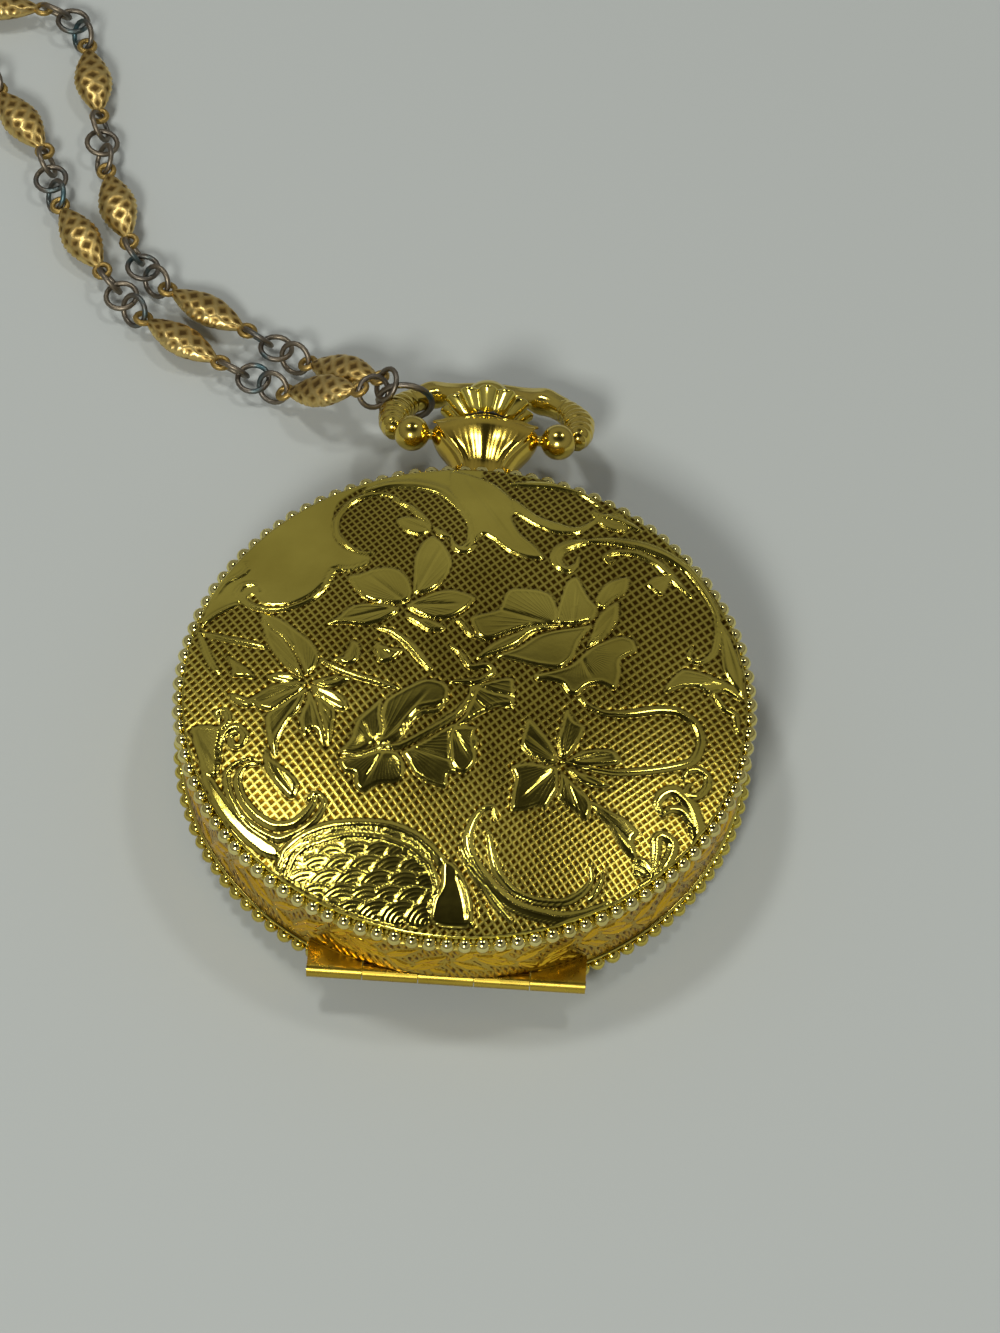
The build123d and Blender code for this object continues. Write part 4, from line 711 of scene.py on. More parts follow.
class Engraving:
    """Heights over a field of points: leaves and scrolls raised from a ground, with cut lines in them.
    Rays are phases of the finest lines, which the material cuts as deep as their gain says."""

    def __init__(self, x, y, line_w=0.12, line_deep=0.035):
        self.x, self.y, self.line_w, self.line_deep = x, y, line_w, line_deep
        self.height, self.plain, self.rays, self.ray_gain = np.zeros((4, len(x)))

    def window(self, line, margin):
        """The points near a line, with their places."""
        low, high = line.min(axis=0) - margin, line.max(axis=0) + margin
        near = (self.x > low[0]) & (self.x < high[0]) & (self.y > low[1]) & (self.y < high[1])
        near = np.nonzero(near)[0]
        return near, self.x[near], self.y[near]

    def set_rays(self, near, where, phase, gain):
        """Gives some of the near points their fine lines."""
        self.rays[near] = np.where(where, phase, self.rays[near])
        self.ray_gain[near] = np.where(where, gain, self.ray_gain[near])

    def blank(self, outline):
        """A plain polished area, with a fine step at its edge."""
        line = rounded_line(outline, closed=True)
        near, x, y = self.window(line, 0.3)
        away, _ = line_distance(x, y, line)
        within = inside(x, y, line)
        self.plain[near] = np.maximum(self.plain[near], within * smooth_step(away / 0.12))
        self.height[near] = np.maximum(self.height[near], within * 0.5 * relief_h * smooth_step(away / 0.15))

    def leaf(self, base, outline):
        """A leaf or petal: raised, swelling a little, its edge rounded and lined, rays cut from its base."""
        line = rounded_line(outline, closed=True)
        near, x, y = self.window(line, 0.35)
        away, _ = line_distance(x, y, line)
        within = inside(x, y, line)
        body = relief_h * (0.95 * smooth_step(away / 0.19) + 0.07 * smooth_step(away / 1.1))
        rim = leaf_rim_h * dent(away, 0.22, 0.08)
        value = np.where(within, body + rim, -self.line_deep * dent(away, 0.0, self.line_w))
        turn, gain = self.rays[near], 0.0
        if base is not None:
            middle = line.mean(axis=0) - base
            reach = np.hypot(*middle)
            dx, dy = x - base[0], y - base[1]
            out = np.hypot(dx, dy)
            turn = turned_from(dx, dy, middle)
            vein = dent(turn * out, 0.0, 0.09) * smooth_step((1.7 * reach - out) / (0.6 * reach))
            value -= within * vein_depth * vein * smooth_step(away / 0.1)
            value -= within * lobe_depth * np.clip(out / (2 * reach), 0, 1) ** 2 * np.abs(np.sin(2.5 * turn))
            fade = smooth_step((out - 0.5) / 0.5) * smooth_step((1.75 * reach - out) / (0.7 * reach))
            gain = fade * smooth_step(away / 0.15)
        self.set_rays(near, within, turn, gain)
        self.height[near] = np.where(within, value, self.height[near] + value)
        edge_plain = within * smooth_step(away / 0.06)
        self.plain[near] = np.maximum(self.plain[near], edge_plain)

    def scroll(self, start_w, end_w, points):
        """A raised rounded band along a line, its width changing evenly, with a groove on each side."""
        line = rounded_line(points)
        near, x, y = self.window(line, max(start_w, end_w) + 0.35)
        away, share = line_distance(x, y, line)
        half = start_w + (end_w - start_w) * smooth_step(share * 1.6)
        half = half * np.clip(0.35 + 3.0 * np.minimum(share, 1 - share), 0.35, 1.0)
        hump = relief_h * 1.3 * np.cos(0.5 * np.pi * np.clip(away / half, 0, 1)) ** 1.3
        groove = -groove_depth * dent(away, half + 0.05, 0.08)
        raised = np.maximum(hump, self.height[near])
        self.height[near] = np.where(away < half, raised, self.height[near] + groove)
        self.plain[near] = np.maximum(self.plain[near], smooth_step((half + 0.05 - away) / 0.05))
        self.set_rays(near, away < half, np.pi * away / (scroll_line_pitch * ray_count), 1.0)

    def cut(self, points, width=0.08, depth=0.07):
        """A line cut into the surface."""
        line = rounded_line(points)
        near, x, y = self.window(line, 4 * width)
        away, share = line_distance(x, y, line)
        fade = np.clip(6 * np.minimum(share, 1 - share), 0, 1)
        self.height[near] -= depth * dent(away, 0.0, width) * fade

    def fan(self, centre, radius, start_deg, end_deg, pitch=0.36, area=None):
        """A feathered shell: nested arcs about a point, each a fine line, within a sector."""
        near = np.nonzero(np.hypot(self.x - centre[0], self.y - centre[1]) < radius)[0]
        dx, dy = self.x[near] - centre[0], self.y[near] - centre[1]
        out = np.hypot(dx, dy)
        turn = turned_from(dx, dy, on_circle(1.0, (start_deg + end_deg) / 2))
        share = turn / (math.radians(end_deg - start_deg) / 2) + 0.5 * (out / radius) ** 2 - 0.25
        within = smooth_step((1 - np.abs(share)) / 0.12) * smooth_step((radius - out) / 0.15)
        if area is not None:
            within = within * inside(self.x[near], self.y[near], area)
        shell = relief_h * (0.25 + 0.75 * out / radius)
        self.height[near] = self.height[near] * (1 - within) + within * shell
        self.plain[near] = np.maximum(self.plain[near], within)
        arc = np.pi * out / pitch + 0.8 * share
        self.set_rays(near, within > 0.05, arc / ray_count, shell_gain * within)


def on_circle(radius, degrees):
    """The place at an angle on a circle round the middle."""
    angle = math.radians(degrees)
    return radius * math.cos(angle), radius * math.sin(angle)


def disc_grid(count, radius):
    """A square grid bent to a disc, with cells of nearly even size: rings of the square become circles."""
    s = np.linspace(-1.0, 1.0, count)
    u, v = np.meshgrid(s, s, indexing="xy")
    wide = np.abs(u) > np.abs(v)
    safe_u, safe_v = np.where(u == 0, 1, u), np.where(v == 0, 1, v)
    turn = np.where(wide, (np.pi / 4) * v / safe_u, np.pi / 2 - (np.pi / 4) * u / safe_v)
    out = np.where(wide, u, v) * radius
    return (out * np.cos(turn)).ravel(), (out * np.sin(turn)).ravel()


def net_lines(x, y):
    """Two sets of slightly bent crossing lines, as phases that grow by one from line to line."""
    first = (x * math.cos(0.62) + y * math.sin(0.62) + 0.5 * np.sin(0.16 * x + 0.11 * y)) / net_pitch
    second = (-x * math.sin(0.78) + y * math.cos(0.78) + 0.5 * np.sin(0.13 * x - 0.17 * y)) / net_pitch
    return first, second


def dome_drop_at(out):
    """How far the cover's dome has fallen at a distance from its middle."""
    return dome_drop * (out / dome_edge_r) ** 2.4


def store_lines(piece, first, second, net, art, calm, carry):
    """Stores what the engraved material reads; carry brings values on the face to the whole mesh."""
    for key, values in zip(line_keys, (first, second, net, art.rays, art.ray_gain * calm,
                                       art.height / relief_h)):
        add_attribute(piece, key, carry(values))


def engraved_disc(name, art, top, side, body, material):
    """A closed disc whose upper face is the engraved dome and whose under face follows it inside."""
    count = round(math.sqrt(len(art.x)))
    first, second = net_lines(art.x, art.y)
    ridge = (np.cos(np.pi * first) ** 2 + np.cos(np.pi * second) ** 2) / 2
    out = np.hypot(art.x, art.y)
    calm = smooth_step((field_r - out) / 0.12)
    height = art.height * calm + net_depth * (ridge - 0.5) * (1 - art.plain) * calm
    z = top + side * (height - dome_drop_at(out))
    grid = np.arange(count * count).reshape(count, count)
    edge = np.concatenate([grid[0, :-1], grid[:-1, -1], grid[-1, :0:-1], grid[:0:-1, 0]])
    upper = np.stack([art.x, art.y, z], axis=1)
    rings = []
    for share in (1.0, 0.66, 0.33):
        ring = upper[edge] * share
        ring[:, 2] = top - side * (dome_drop_at(field_r * share) + cover_plate_t)
        rings.append(ring)
    points = np.vstack([upper] + rings + [[0.0, 0.0, top - side * cover_plate_t]])
    around = len(edge)
    chains = [edge] + [count * count + k * around + np.arange(around) for k in range(3)]
    blocks = [grid_faces(count, count)]
    for a, b in zip(chains, chains[1:]):
        blocks.append(np.stack([a, b, np.roll(b, -1), np.roll(a, -1)], axis=1))
    last = chains[-1]
    blocks.append(np.stack([last, np.full(around, len(points) - 1), np.roll(last, -1)], axis=1))
    piece = make_piece(name, points, flat(block[:, ::side] for block in blocks), body, material)
    store_lines(piece, first, second, (1 - art.plain) * calm, art, calm,
                lambda values: np.concatenate([values, np.zeros(len(points) - len(art.x))]))
    return piece


def gold_material(name, colour, dull, roughness):
    """Polished gold plate: a warm metal, dulled and darkened unevenly, with fine wear."""
    made = new_material(name, colour, metallic=1.0, roughness=roughness)
    patches = object_noise(made, 0.16, 4.0)
    wire(made, ramp(made, patches, ((0.3, dull), (0.62, colour))), shader_input(made, "Base Color"))
    wear = spread(made, object_noise(made, 0.7, 5.0), roughness * 0.6, roughness * 1.7)
    wire(made, wear, shader_input(made, "Roughness"))
    return made


def engraved_gold(name, colour, dull, cut_line_shade_strength):
    """Gold with the engraver's finest lines: the net's threads and the rays cut in leaves. The net's pits are
    matt and darkened with painted shade, and lines cut below the field get painted shade as strong as the
    last argument asks."""
    made = gold_material(name, colour, dull, engraved_roughness)
    first, second, net, rays, ray_gain, raised = (read_attribute(made, key) for key in line_keys)

    def fine_lines(kind, phase, factor, sharpness):
        """A sine or cosine of the phase times a factor, without its sign, sharpened by a power."""
        wave = math_node(made, kind, math_node(made, "MULTIPLY", phase, factor))
        return math_node(made, "POWER", math_node(made, "ABSOLUTE", wave), sharpness)

    threads = [fine_lines("COSINE", phase, math.pi, thread_sharpness) for phase in (first, second)]
    ridge = math_node(made, "MAXIMUM", *threads)
    pits = math_node(made, "MULTIPLY", math_node(made, "SUBTRACT", ridge, pit_level), net)
    ray = math_node(made, "MULTIPLY", fine_lines("SINE", rays, ray_count, ray_sharpness), ray_gain)
    relief = bump(made, ray, 0.2, 0.016, bump(made, pits, 0.5, 0.015))
    relief = bump(made, object_noise(made, 3.2, 4.0), 0.25, 0.012, relief)
    wire(made, relief, shader_input(made, "Normal"))
    roughness, base = shader_input(made, "Roughness"), shader_input(made, "Base Color")
    wire(made, math_node(made, "MULTIPLY_ADD", net, net_matt, roughness.links[0].from_socket), roughness)
    # Painted shade in the net's pits: between the threads the gold is multiplied towards dark brown.
    pit_shaded_colour = mixed(made, math_node(made, "MULTIPLY", pits, -0.95), base.links[0].from_socket,
                  pit_shade_colour, "MULTIPLY")
    # Painted shade in the lines cut below the field.
    cut_line_shade_amount = spread(made, raised, 0.0, cut_line_shade_strength, 0.0, low_line_at)
    wire(made, mixed(made, cut_line_shade_amount, pit_shaded_colour, cut_line_shade_colour, "MULTIPLY"), base)
    return made


def profile_ring(name, profile, body, material):
    """A closed ring: a closed profile of radius and height carried round the upright axis."""
    profile = np.array(profile)
    angle = np.linspace(0, 2 * np.pi, rim_steps, endpoint=False)[:, None]
    x, y = profile[:, 0] * np.cos(angle), profile[:, 0] * np.sin(angle)
    points = np.stack([x, y, profile[:, 1] + 0 * angle], axis=-1)
    return make_piece(name, points, grid_faces(rim_steps, len(profile), True, True), body, material)


def bead_row(name, z, body, material, skip_y=-dome_edge_r - 1):
    """The small balls round a cover's rim: rings of points about each ball's outward axis. Balls
    whose outer side lies below skip_y are left out."""
    centres = 2 * np.pi * np.arange(bead_count) / bead_count
    centres = centres[(bead_ring_r + bead_r) * np.sin(centres) > skip_y]
    up = np.radians(np.linspace(12.0, 168.0, 7))[:, None]
    turn = np.linspace(0, 2 * np.pi, 12, endpoint=False)[None, :]
    ball = np.stack([np.cos(up) + 0 * turn, np.sin(up) * np.cos(turn), np.sin(up) * np.sin(turn)], axis=-1)
    ball = bead_r * ball.reshape(-1, 3)
    size = 1.0 + 0.03 * np.sin(2.7 * np.arange(len(centres)))[:, None]
    out = bead_ring_r + size * ball[:, 0]
    c, s = np.cos(centres)[:, None], np.sin(centres)[:, None]
    x, y = out * c - size * ball[:, 1] * s, out * s + size * ball[:, 1] * c
    points = np.stack([x, y, z + size * ball[:, 2]], axis=-1)
    step = np.arange(len(centres))[:, None, None] * len(ball)
    blocks = [(block[None] + step).reshape(-1, block.shape[1]) for block in tube_faces(7, 12)]
    return make_piece(name, points, flat(blocks), body, material, outward=True)


back_gold = engraved_gold("engraved_olive_gold", (0.76, 0.63, 0.11), (0.56, 0.45, 0.07), 0.6)
rim_gold = gold_material("polished_rim_gold", (0.78, 0.64, 0.12), (0.56, 0.42, 0.07), 0.13)
# Painted highlight: the back cover's beads get a paler, less saturated gold than the rim to stand for the
# lamps' bright glints. The lid's beads keep the rim gold.
bead_gold_painted_highlight = gold_material("bright_bead_gold_painted_highlight", (0.88, 0.78, 0.30), (0.70, 0.58, 0.16), 0.11)
back_art = Engraving(*disc_grid(cover_grid, field_r))
for outline in back_blanks:
    back_art.blank(tenths(outline))
shell_edge = rounded_line(tenths(back_shell_area), closed=True)
shell_feet = [(-11.0 + shell_r * k + shell_r / 2 * (row % 2), -11.9 - shell_row * row)
              for row in range(6) for k in range(8)]
for index, centre in enumerate(shell_feet):
    lean = 24.0 * math.sin(index)
    back_art.fan(centre, shell_r, 8.0 + lean, 166.0 + lean, shell_pitch, shell_edge)
for fan in back_fans:
    back_art.fan(*fan)
for start_w, end_w, points in back_scrolls:
    back_art.scroll(start_w, end_w, tenths(points))
for base, outline in back_leaves:
    back_art.leaf(base and tenths(base)[0], tenths(outline))
for points in back_cuts:
    back_art.cut(tenths(points))
back_field = engraved_disc("back_cover_field", back_art, back_top, 1, "case", back_gold)
back_rim_profile = [(r, back_rim_z + z) for r, z in (
    (16.4, 0.02), (17.42, 0.02), (17.5, 0.08), (17.46, 0.2), (17.1, 0.3), (17.1, 0.95), (17.2, 1.08),
    (17.24, 1.2), (17.14, 1.29), (16.6, 1.2), (16.3, 0.9))]
back_rim = profile_ring("back_cover_rim", back_rim_profile, "case", rim_gold)
back_beads = bead_row("back_cover_beads", back_bead_z, "case", bead_gold_painted_highlight)
for piece in (back_field, back_rim, back_beads):
    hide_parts("back_cover")

# The front lid: the same thin plate as the back cover, face down on the table, engraved
# with two sprays of leaves round a plain shield. Its rim is turned flat where the hinge
# is, and two hinge knuckles are soldered to it.
lid_top = 0.02
lid_grid = 214
lid_bead_z = 2.24
shield_r = 6.2
shield_plain_r = 6.0
spray_r = 9.6
curl_r = 15.2
outer_leaf_r = 13.4
lid_hinge_y = -16.42
lid_bead_end_y = -16.45
hinge_axis_y = -17.0
hinge_axis_z = 2.86
hinge_pin_l = 16.8
hinge_leaf_y = -15.25
hinge_gap = 0.03
knuckle_r = 0.5
lid_rim_profile = [
    (16.1, 2.82), (17.42, 2.82), (17.5, 2.76), (17.46, 2.64), (17.1, 2.54), (17.1, 1.87), (17.2, 1.74),
    (17.24, 1.62), (17.14, 1.53), (16.6, 1.6), (16.05, 1.9),
]


def pointed_leaf(foot, aim_deg, length, width, bend=0.0):
    """A leaf outline: its half width is a sine of the share along it, on a midrib bent to one side."""
    share = np.array([0.0, 0.12, 0.3, 0.5, 0.7, 0.88, 1.0])
    half = width / 2 * np.sin(np.pi * share**0.8) * np.array([1, 1.05, 0.95, 1.08, 0.92, 1.0, 0])
    side = bend * length * share * share
    left = np.stack([share * length, side + half], axis=1)
    right_side = np.stack([share * length, side - half], axis=1)[-2:0:-1]
    c, s = on_circle(1.0, aim_deg)
    return np.vstack([left, right_side]) @ np.array([[c, s], [-s, c]]) + np.array(foot)


def curl(foot, aim_deg, size, hand):
    """A scroll line: a spiral whose radius shrinks evenly over a turn and a quarter."""
    share = np.linspace(0.0, 1.0, 12)
    angle = math.radians(aim_deg) + hand * (share * 2.5 * np.pi - np.pi / 2)
    radius = size * (1.0 - 0.8 * share)
    ring = np.stack([radius * np.cos(angle), radius * np.sin(angle)], axis=1)
    return ring - ring[0] + np.array(foot)


lid_art = Engraving(*disc_grid(lid_grid, field_r))
lid_art.blank([on_circle(shield_plain_r, a) for a in np.linspace(0, 360, 24, endpoint=False)])
for side in (-1, 1):
    lid_art.scroll(0.22, 0.10, [on_circle(spray_r, a) * np.array([side, 1]) for a in np.linspace(-80, 76, 9)])
    for a in np.linspace(-72.0, 66.0, 9):
        foot = on_circle(spray_r, a) * np.array([side, 1])
        for away, leaf_l in ((a + 18.0, 3.6), (a + 118.0, 2.9)):
            aim = away if side > 0 else 180.0 - away
            lid_art.leaf(foot, pointed_leaf(foot, aim, leaf_l, 1.5, 0.14 * side))
for angle in range(15, 375, 30):
    for hand in (-1, 1):
        lid_art.scroll(0.3, 0.12, curl(on_circle(curl_r, angle), angle + 90.0, 1.5, hand))
    foot = on_circle(outer_leaf_r, angle)
    lid_art.leaf(foot, pointed_leaf(foot, angle, 3.2, 1.5))
lid_art.cut([on_circle(shield_r, a) for a in np.linspace(0, 360, 49)], 0.07, 0.04)
lid_field = engraved_disc("front_lid_field", lid_art, lid_top, -1, "lid", back_gold)
lid_rim = profile_ring("front_lid_rim", lid_rim_profile, "lid", rim_gold)
for piece in (lid_field, lid_rim):
    places = np.empty(len(piece.data.vertices) * 3)
    piece.data.vertices.foreach_get("co", places)
    places = np.maximum(places.reshape(-1, 3), (-np.inf, lid_hinge_y * mm, 0.0))
    piece.data.vertices.foreach_set("co", places.ravel())
    piece.data.update()
lid_beads = bead_row("front_lid_beads", lid_bead_z, "lid", rim_gold, lid_bead_end_y)


def hinge_knuckle(name, x0, x1, side, body, material):
    """A knuckle with its leaf: a round eye about the pin and a flat tongue, each carried along x."""
    low, high = sorted((hinge_axis_z + side * hinge_gap, hinge_axis_z + side * knuckle_r))
    turn = np.linspace(0, 2 * np.pi, 28, endpoint=False)
    eye = np.stack([hinge_axis_y + knuckle_r * np.cos(turn), hinge_axis_z + knuckle_r * np.sin(turn)], axis=1)
    tongue = np.array([(hinge_axis_y, low), (hinge_leaf_y, low), (hinge_leaf_y, high), (hinge_axis_y, high)])
    points, faces, first = [], [], 0
    for profile in (eye, tongue):
        points += [np.column_stack([np.full(len(profile), x), profile]) for x in (x0, x1)]
        faces += flat(block + first for block in tube_faces(2, len(profile)))
        first += 2 * len(profile)
    return make_piece(name, np.concatenate(points), faces, body, material, smooth=False, outward=True)


satin_gold = gold_material("satin_case_gold", (0.62, 0.44, 0.06), (0.46, 0.31, 0.035), 0.24)
knuckle_pitch = hinge_pin_l / 5
lid_knuckles = []
for index in (1, 3):
    x0 = -hinge_pin_l / 2 + index * knuckle_pitch + hinge_gap
    x1 = x0 + knuckle_pitch - 2 * hinge_gap
    lid_knuckles.append(hinge_knuckle(f"lid_knuckle_{index}", x0, x1, -1, "lid", satin_gold))
for piece in [lid_field, lid_rim, lid_beads] + lid_knuckles:
    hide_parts("front_lid")

# The case band: the wall between the two covers, of the same plate, cut all round with
# long leaves and sprays over a hatched ground. It is part of the case middle.
band_surface_r = 17.36
band_inner_r = 17.2
band_low = 2.96
band_high = 6.56
band_low_at_hinge = 3.46
hinge_clear_half_w = 8.9
band_columns = 1500
band_rows = 44
band_relief = 1.25
hatch_h = 0.022
hatch_pitch = 0.5
thread_pitch = 0.45
sprays = 14
wave_middle = 1.8
wave_h = 0.75
spray_leaves = (
    (0.05, 38, 2.7, 0.75), (0.05, -32, 2.4, 0.7), (0.22, -30, 3.0, 0.85), (0.30, 24, 2.0, 0.6),
    (0.48, 150, 2.6, 0.8), (0.52, 30, 2.6, 0.75), (0.55, -40, 2.5, 0.75), (0.74, 34, 2.9, 0.85),
    (0.82, -28, 2.0, 0.6), (0.97, 205, 2.6, 0.75),
)
# Painted light: the band is the same plate as the covers, but its gold is made orange and saturated to stand
# for warm light reflected from the lit cloth. Its cut lines get full painted shade.
band_gold_painted_warm_light = engraved_gold("engraved_band_gold_painted_warm_light", (0.84, 0.51, 0.03), (0.68, 0.38, 0.02), 1.0)

band_l = 2 * np.pi * band_surface_r
band_h = band_high - band_low
along, across = (grid.ravel() for grid in np.meshgrid(
    np.linspace(0, band_l, band_columns, endpoint=False), np.linspace(0, band_h, band_rows), indexing="ij"))
band_art = Engraving(along, across, line_w=0.17, line_deep=0.05)


def on_wave(spray, share):
    """A place on the stem, a sine wave that runs round the band, one wave to a spray."""
    return (spray + share) * band_l / sprays, wave_middle + wave_h * math.sin(2 * math.pi * share)


for spray in range(sprays):
    band_art.scroll(0.14, 0.10, [on_wave(spray, share) for share in np.linspace(0.02, 0.98, 9)])
    for share, aim, leaf_l, leaf_w in spray_leaves:
        foot = on_wave(spray, share)
        band_art.leaf(foot, pointed_leaf(foot, aim, leaf_l, leaf_w, 0.1))
band_edge = smooth_step(across / 0.2) * smooth_step((band_h - across) / 0.2)
hatch = hatch_h * np.cos(2 * np.pi * (along + 0.6 * across) / hatch_pitch) * (1 - band_art.plain)
radius = band_surface_r + (band_art.height * band_relief + hatch) * band_edge
x, y = radius * np.sin(along / band_surface_r), -radius * np.cos(along / band_surface_r)
near_hinge = smooth_step((hinge_clear_half_w - np.abs(x)) / 0.4) * smooth_step(-y / 5.0)
low_here = band_low + (band_low_at_hinge - band_low) * near_hinge
z = low_here + (band_high - low_here) * across / band_h
outer = np.stack([x, y, z], axis=1).reshape(band_columns, band_rows, 3)
inner = outer[:, [-1, 0]].copy()
inner[:, :, :2] *= (band_inner_r / np.hypot(inner[:, :, 0], inner[:, :, 1]))[:, :, None]
band = np.concatenate([outer, inner], axis=1)
band_faces = grid_faces(band_columns, band_rows + 2, True, True)
case_band = make_piece("case_band", band, band_faces, "case", band_gold_painted_warm_light)
store_lines(case_band, along / thread_pitch + 0.5 * across, along / thread_pitch - 0.5 * across,
            0.8 * (1 - band_art.plain), band_art, 1.0,
            lambda values: np.pad(values.reshape(band_columns, band_rows), ((0, 0), (0, 2))))

# The pendant neck: a hollow stamping in the form of a shell, soldered to the band over
# the stem's tube. Two bright ribs spread from its foot to an arched and scalloped edge,
# with a shallow hollow between them.
neck_axis_z = 4.75
neck_gold = gold_material("neck_gold", (0.74, 0.55, 0.09), (0.56, 0.37, 0.05), 0.13)
neck_table = [
    (16.9, 3.2, 1.70), (17.5, 2.85, 1.65), (18.3, 2.2, 1.6), (19.2, 1.95, 1.6), (20.1, 2.35, 1.75),
    (21.0, 3.0, 1.95), (21.8, 3.38, 2.05), (22.3, 3.42, 1.98), (22.5, 3.3, 1.85), (22.6, 3.0, 1.65),
]


def oval_surface(name, table, around, shape, body, material, end_rise=0.0):
    """A closed surface about an axis along y. The table gives y, half width and half height of some
    sections, others lie between on rounded lines, and each end is closed to a middle point."""
    table = np.array(table)
    y, half_w = rounded_line(table[:, :2], steps=6).T[:, :, None]
    half_h = rounded_line(table[:, [0, 2]], steps=6)[:, 1:]
    count = len(y)
    turn = np.linspace(0, 2 * np.pi, around, endpoint=False)[None, :]
    grow, lift = shape(np.linspace(0, 1, count)[:, None], turn)
    x = half_w * np.sin(turn) * grow
    z = neck_axis_z + half_h * np.cos(turn) * grow
    points = np.stack([x, y + lift + 0 * turn, z], axis=-1).reshape(-1, 3)
    ends = [(0, y[0, 0], neck_axis_z), (0, y[-1, 0] + end_rise, neck_axis_z)]
    ring = np.arange(around)
    blocks = [grid_faces(count, around, False, True)]
    for row, end in ((0, count * around), ((count - 1) * around, count * around + 1)):
        blocks.append(np.stack([row + ring, np.full(around, end), row + np.roll(ring, -1)], axis=1))
    return make_piece(name, np.vstack([points, ends]), flat(blocks), body, material, outward=True)


def neck_shape(share, turn):
    """Shell ribs on the two broad sides: two strong ones at the rays' edges and fine ones between."""
    folded = np.abs((turn + np.pi / 2) % np.pi - np.pi / 2)
    edge_turn = 0.35 + 0.82 * share
    strong = 0.10 * dent(folded, edge_turn, 0.10)
    fine = 0.003 * np.abs(np.sin(folded * 24.0)) * smooth_step((edge_turn - folded) / 0.15)
    hollow = -0.03 * dent(folded, 0.5 * edge_turn, 0.3)
    arches = np.abs(np.cos(folded * 3.93))
    arch = 0.055 * dent(share, 0.84 + 0.05 * arches, 0.035) * (folded < 1.1)
    scallop = 0.28 * arches * smooth_step((share - 0.8) / 0.2)
    open_share = smooth_step((share - 0.12) / 0.25)
    return 1.0 + open_share * (strong + fine + hollow + arch), scallop * (folded < 1.2)


neck = oval_surface("pendant_shell", neck_table, 360, neck_shape, "case", neck_gold)
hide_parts("pendant_neck")

# The crown: turned and fluted for the fingers, gold plated, with a low dome at its end.
# It screws on the stem and is drawn out to set the hands.
crown_lobes = 12
crown_depth = 0.15
crown_table = [(y, r, r) for y, r in (
    (22.96, 1.3), (23.0, 1.6), (23.2, 1.98), (23.5, 2.36), (23.8, 2.72), (24.03, 2.95), (24.2, 2.97),
    (24.38, 2.7), (24.5, 2.15), (24.58, 1.7), (24.75, 1.6), (25.1, 1.58), (25.5, 1.48), (25.9, 1.22),
    (26.2, 0.9), (26.42, 0.5), (26.51, 0.2))]


def crown_shape(share, turn):
    """Round lobes with sharp valleys between, fading out under the dome."""
    lobe = np.abs(np.cos(crown_lobes / 2 * turn)) ** 0.85
    depth = crown_depth * smooth_step((share + 0.05) / 0.1) * smooth_step((0.56 - share) / 0.12)
    return 1.0 - depth * (1.0 - lobe), 0.0 * turn


crown = oval_surface("crown_fluted", crown_table, 288, crown_shape, "crown_body", rim_gold, 0.02)
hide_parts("crown")

# The bow: a cast and chased stirrup with knurled shoulders and small bosses. Its round
# ends turn on two short studs in the sides of the pendant neck.
bow_pivot = (0.0, 22.2, 4.75)
bow_tilt = math.radians(24.0)
bow_rise = 1.5
bow_half_w = 6.05
bow_half_l = 4.7
ball_at = 4.7
ball_r = 1.15
stud_r = 0.35
stud_places = (2.75, 3.0, 4.2)
bow_gold = gold_material("bow_gold", (0.78, 0.61, 0.12), (0.55, 0.39, 0.07), 0.15)


def to_bow(u, v, h):
    """From the bow's own plane (u across, v away from the pivots, h out of it) to the watch."""
    y = bow_pivot[1] + v * math.cos(bow_tilt) + h * math.sin(bow_tilt)
    z = bow_pivot[2] - v * math.sin(bow_tilt) + h * math.cos(bow_tilt)
    return np.stack([u + 0 * v, y, z + 0 * u], axis=-1)


def bow_arch():
    """The stirrup: an oval section carried round an arch a little longer than a half circle. Its
    half widths swell at the bosses, are knurled at the shoulders and shrink towards the ends."""
    path = np.radians(np.linspace(-16.0, 196.0, 260))[:, None]
    rise = np.degrees(np.minimum(path, np.pi - path))
    section = np.linspace(0, 2 * np.pi, 28, endpoint=False)[None, :]
    boss = dent(rise, 55.0, 7.0) + 0.9 * dent(rise, 12.0, 9.0)
    knurl = 0.09 * np.abs(np.sin(np.radians(rise) * 26.0)) * smooth_step((34.0 - rise) / 6.0)
    ends = smooth_step((rise + 18.0) / 14.0)
    half_in = (0.80 + 0.20 * boss + 0.6 * knurl) * (0.72 + 0.28 * ends)
    half_out = 0.82 - 0.36 * smooth_step((rise - 50.0) / 25.0) + 0.10 * boss + knurl
    half_out = half_out * (0.75 + 0.25 * ends)
    groove = 1.0 - 0.10 * dent(np.abs(np.cos(section)), 0.0, 0.28) * (rise > 36.0)
    in_plane = half_in * np.cos(section) * groove
    u = (bow_half_w + in_plane) * np.cos(path)
    v = bow_rise + (bow_half_l + in_plane) * np.sin(path)
    return to_bow(u, v, half_out * np.sin(section) * groove)


def turned_part(name, places, radii, around):
    """A part turned about the pivots' axis: a circle of points at each place, with its radius."""
    turn = np.linspace(0, 2 * np.pi, around, endpoint=False)
    radius = (radii * np.ones(len(places)))[:, None]
    x, y = places[:, None] + 0 * turn, bow_pivot[1] + radius * np.cos(turn)
    points = np.stack([x, y, bow_pivot[2] + radius * np.sin(turn)], axis=-1)
    return make_piece(name, points, flat(tube_faces(*x.shape)), "bow_body", bow_gold, outward=True)


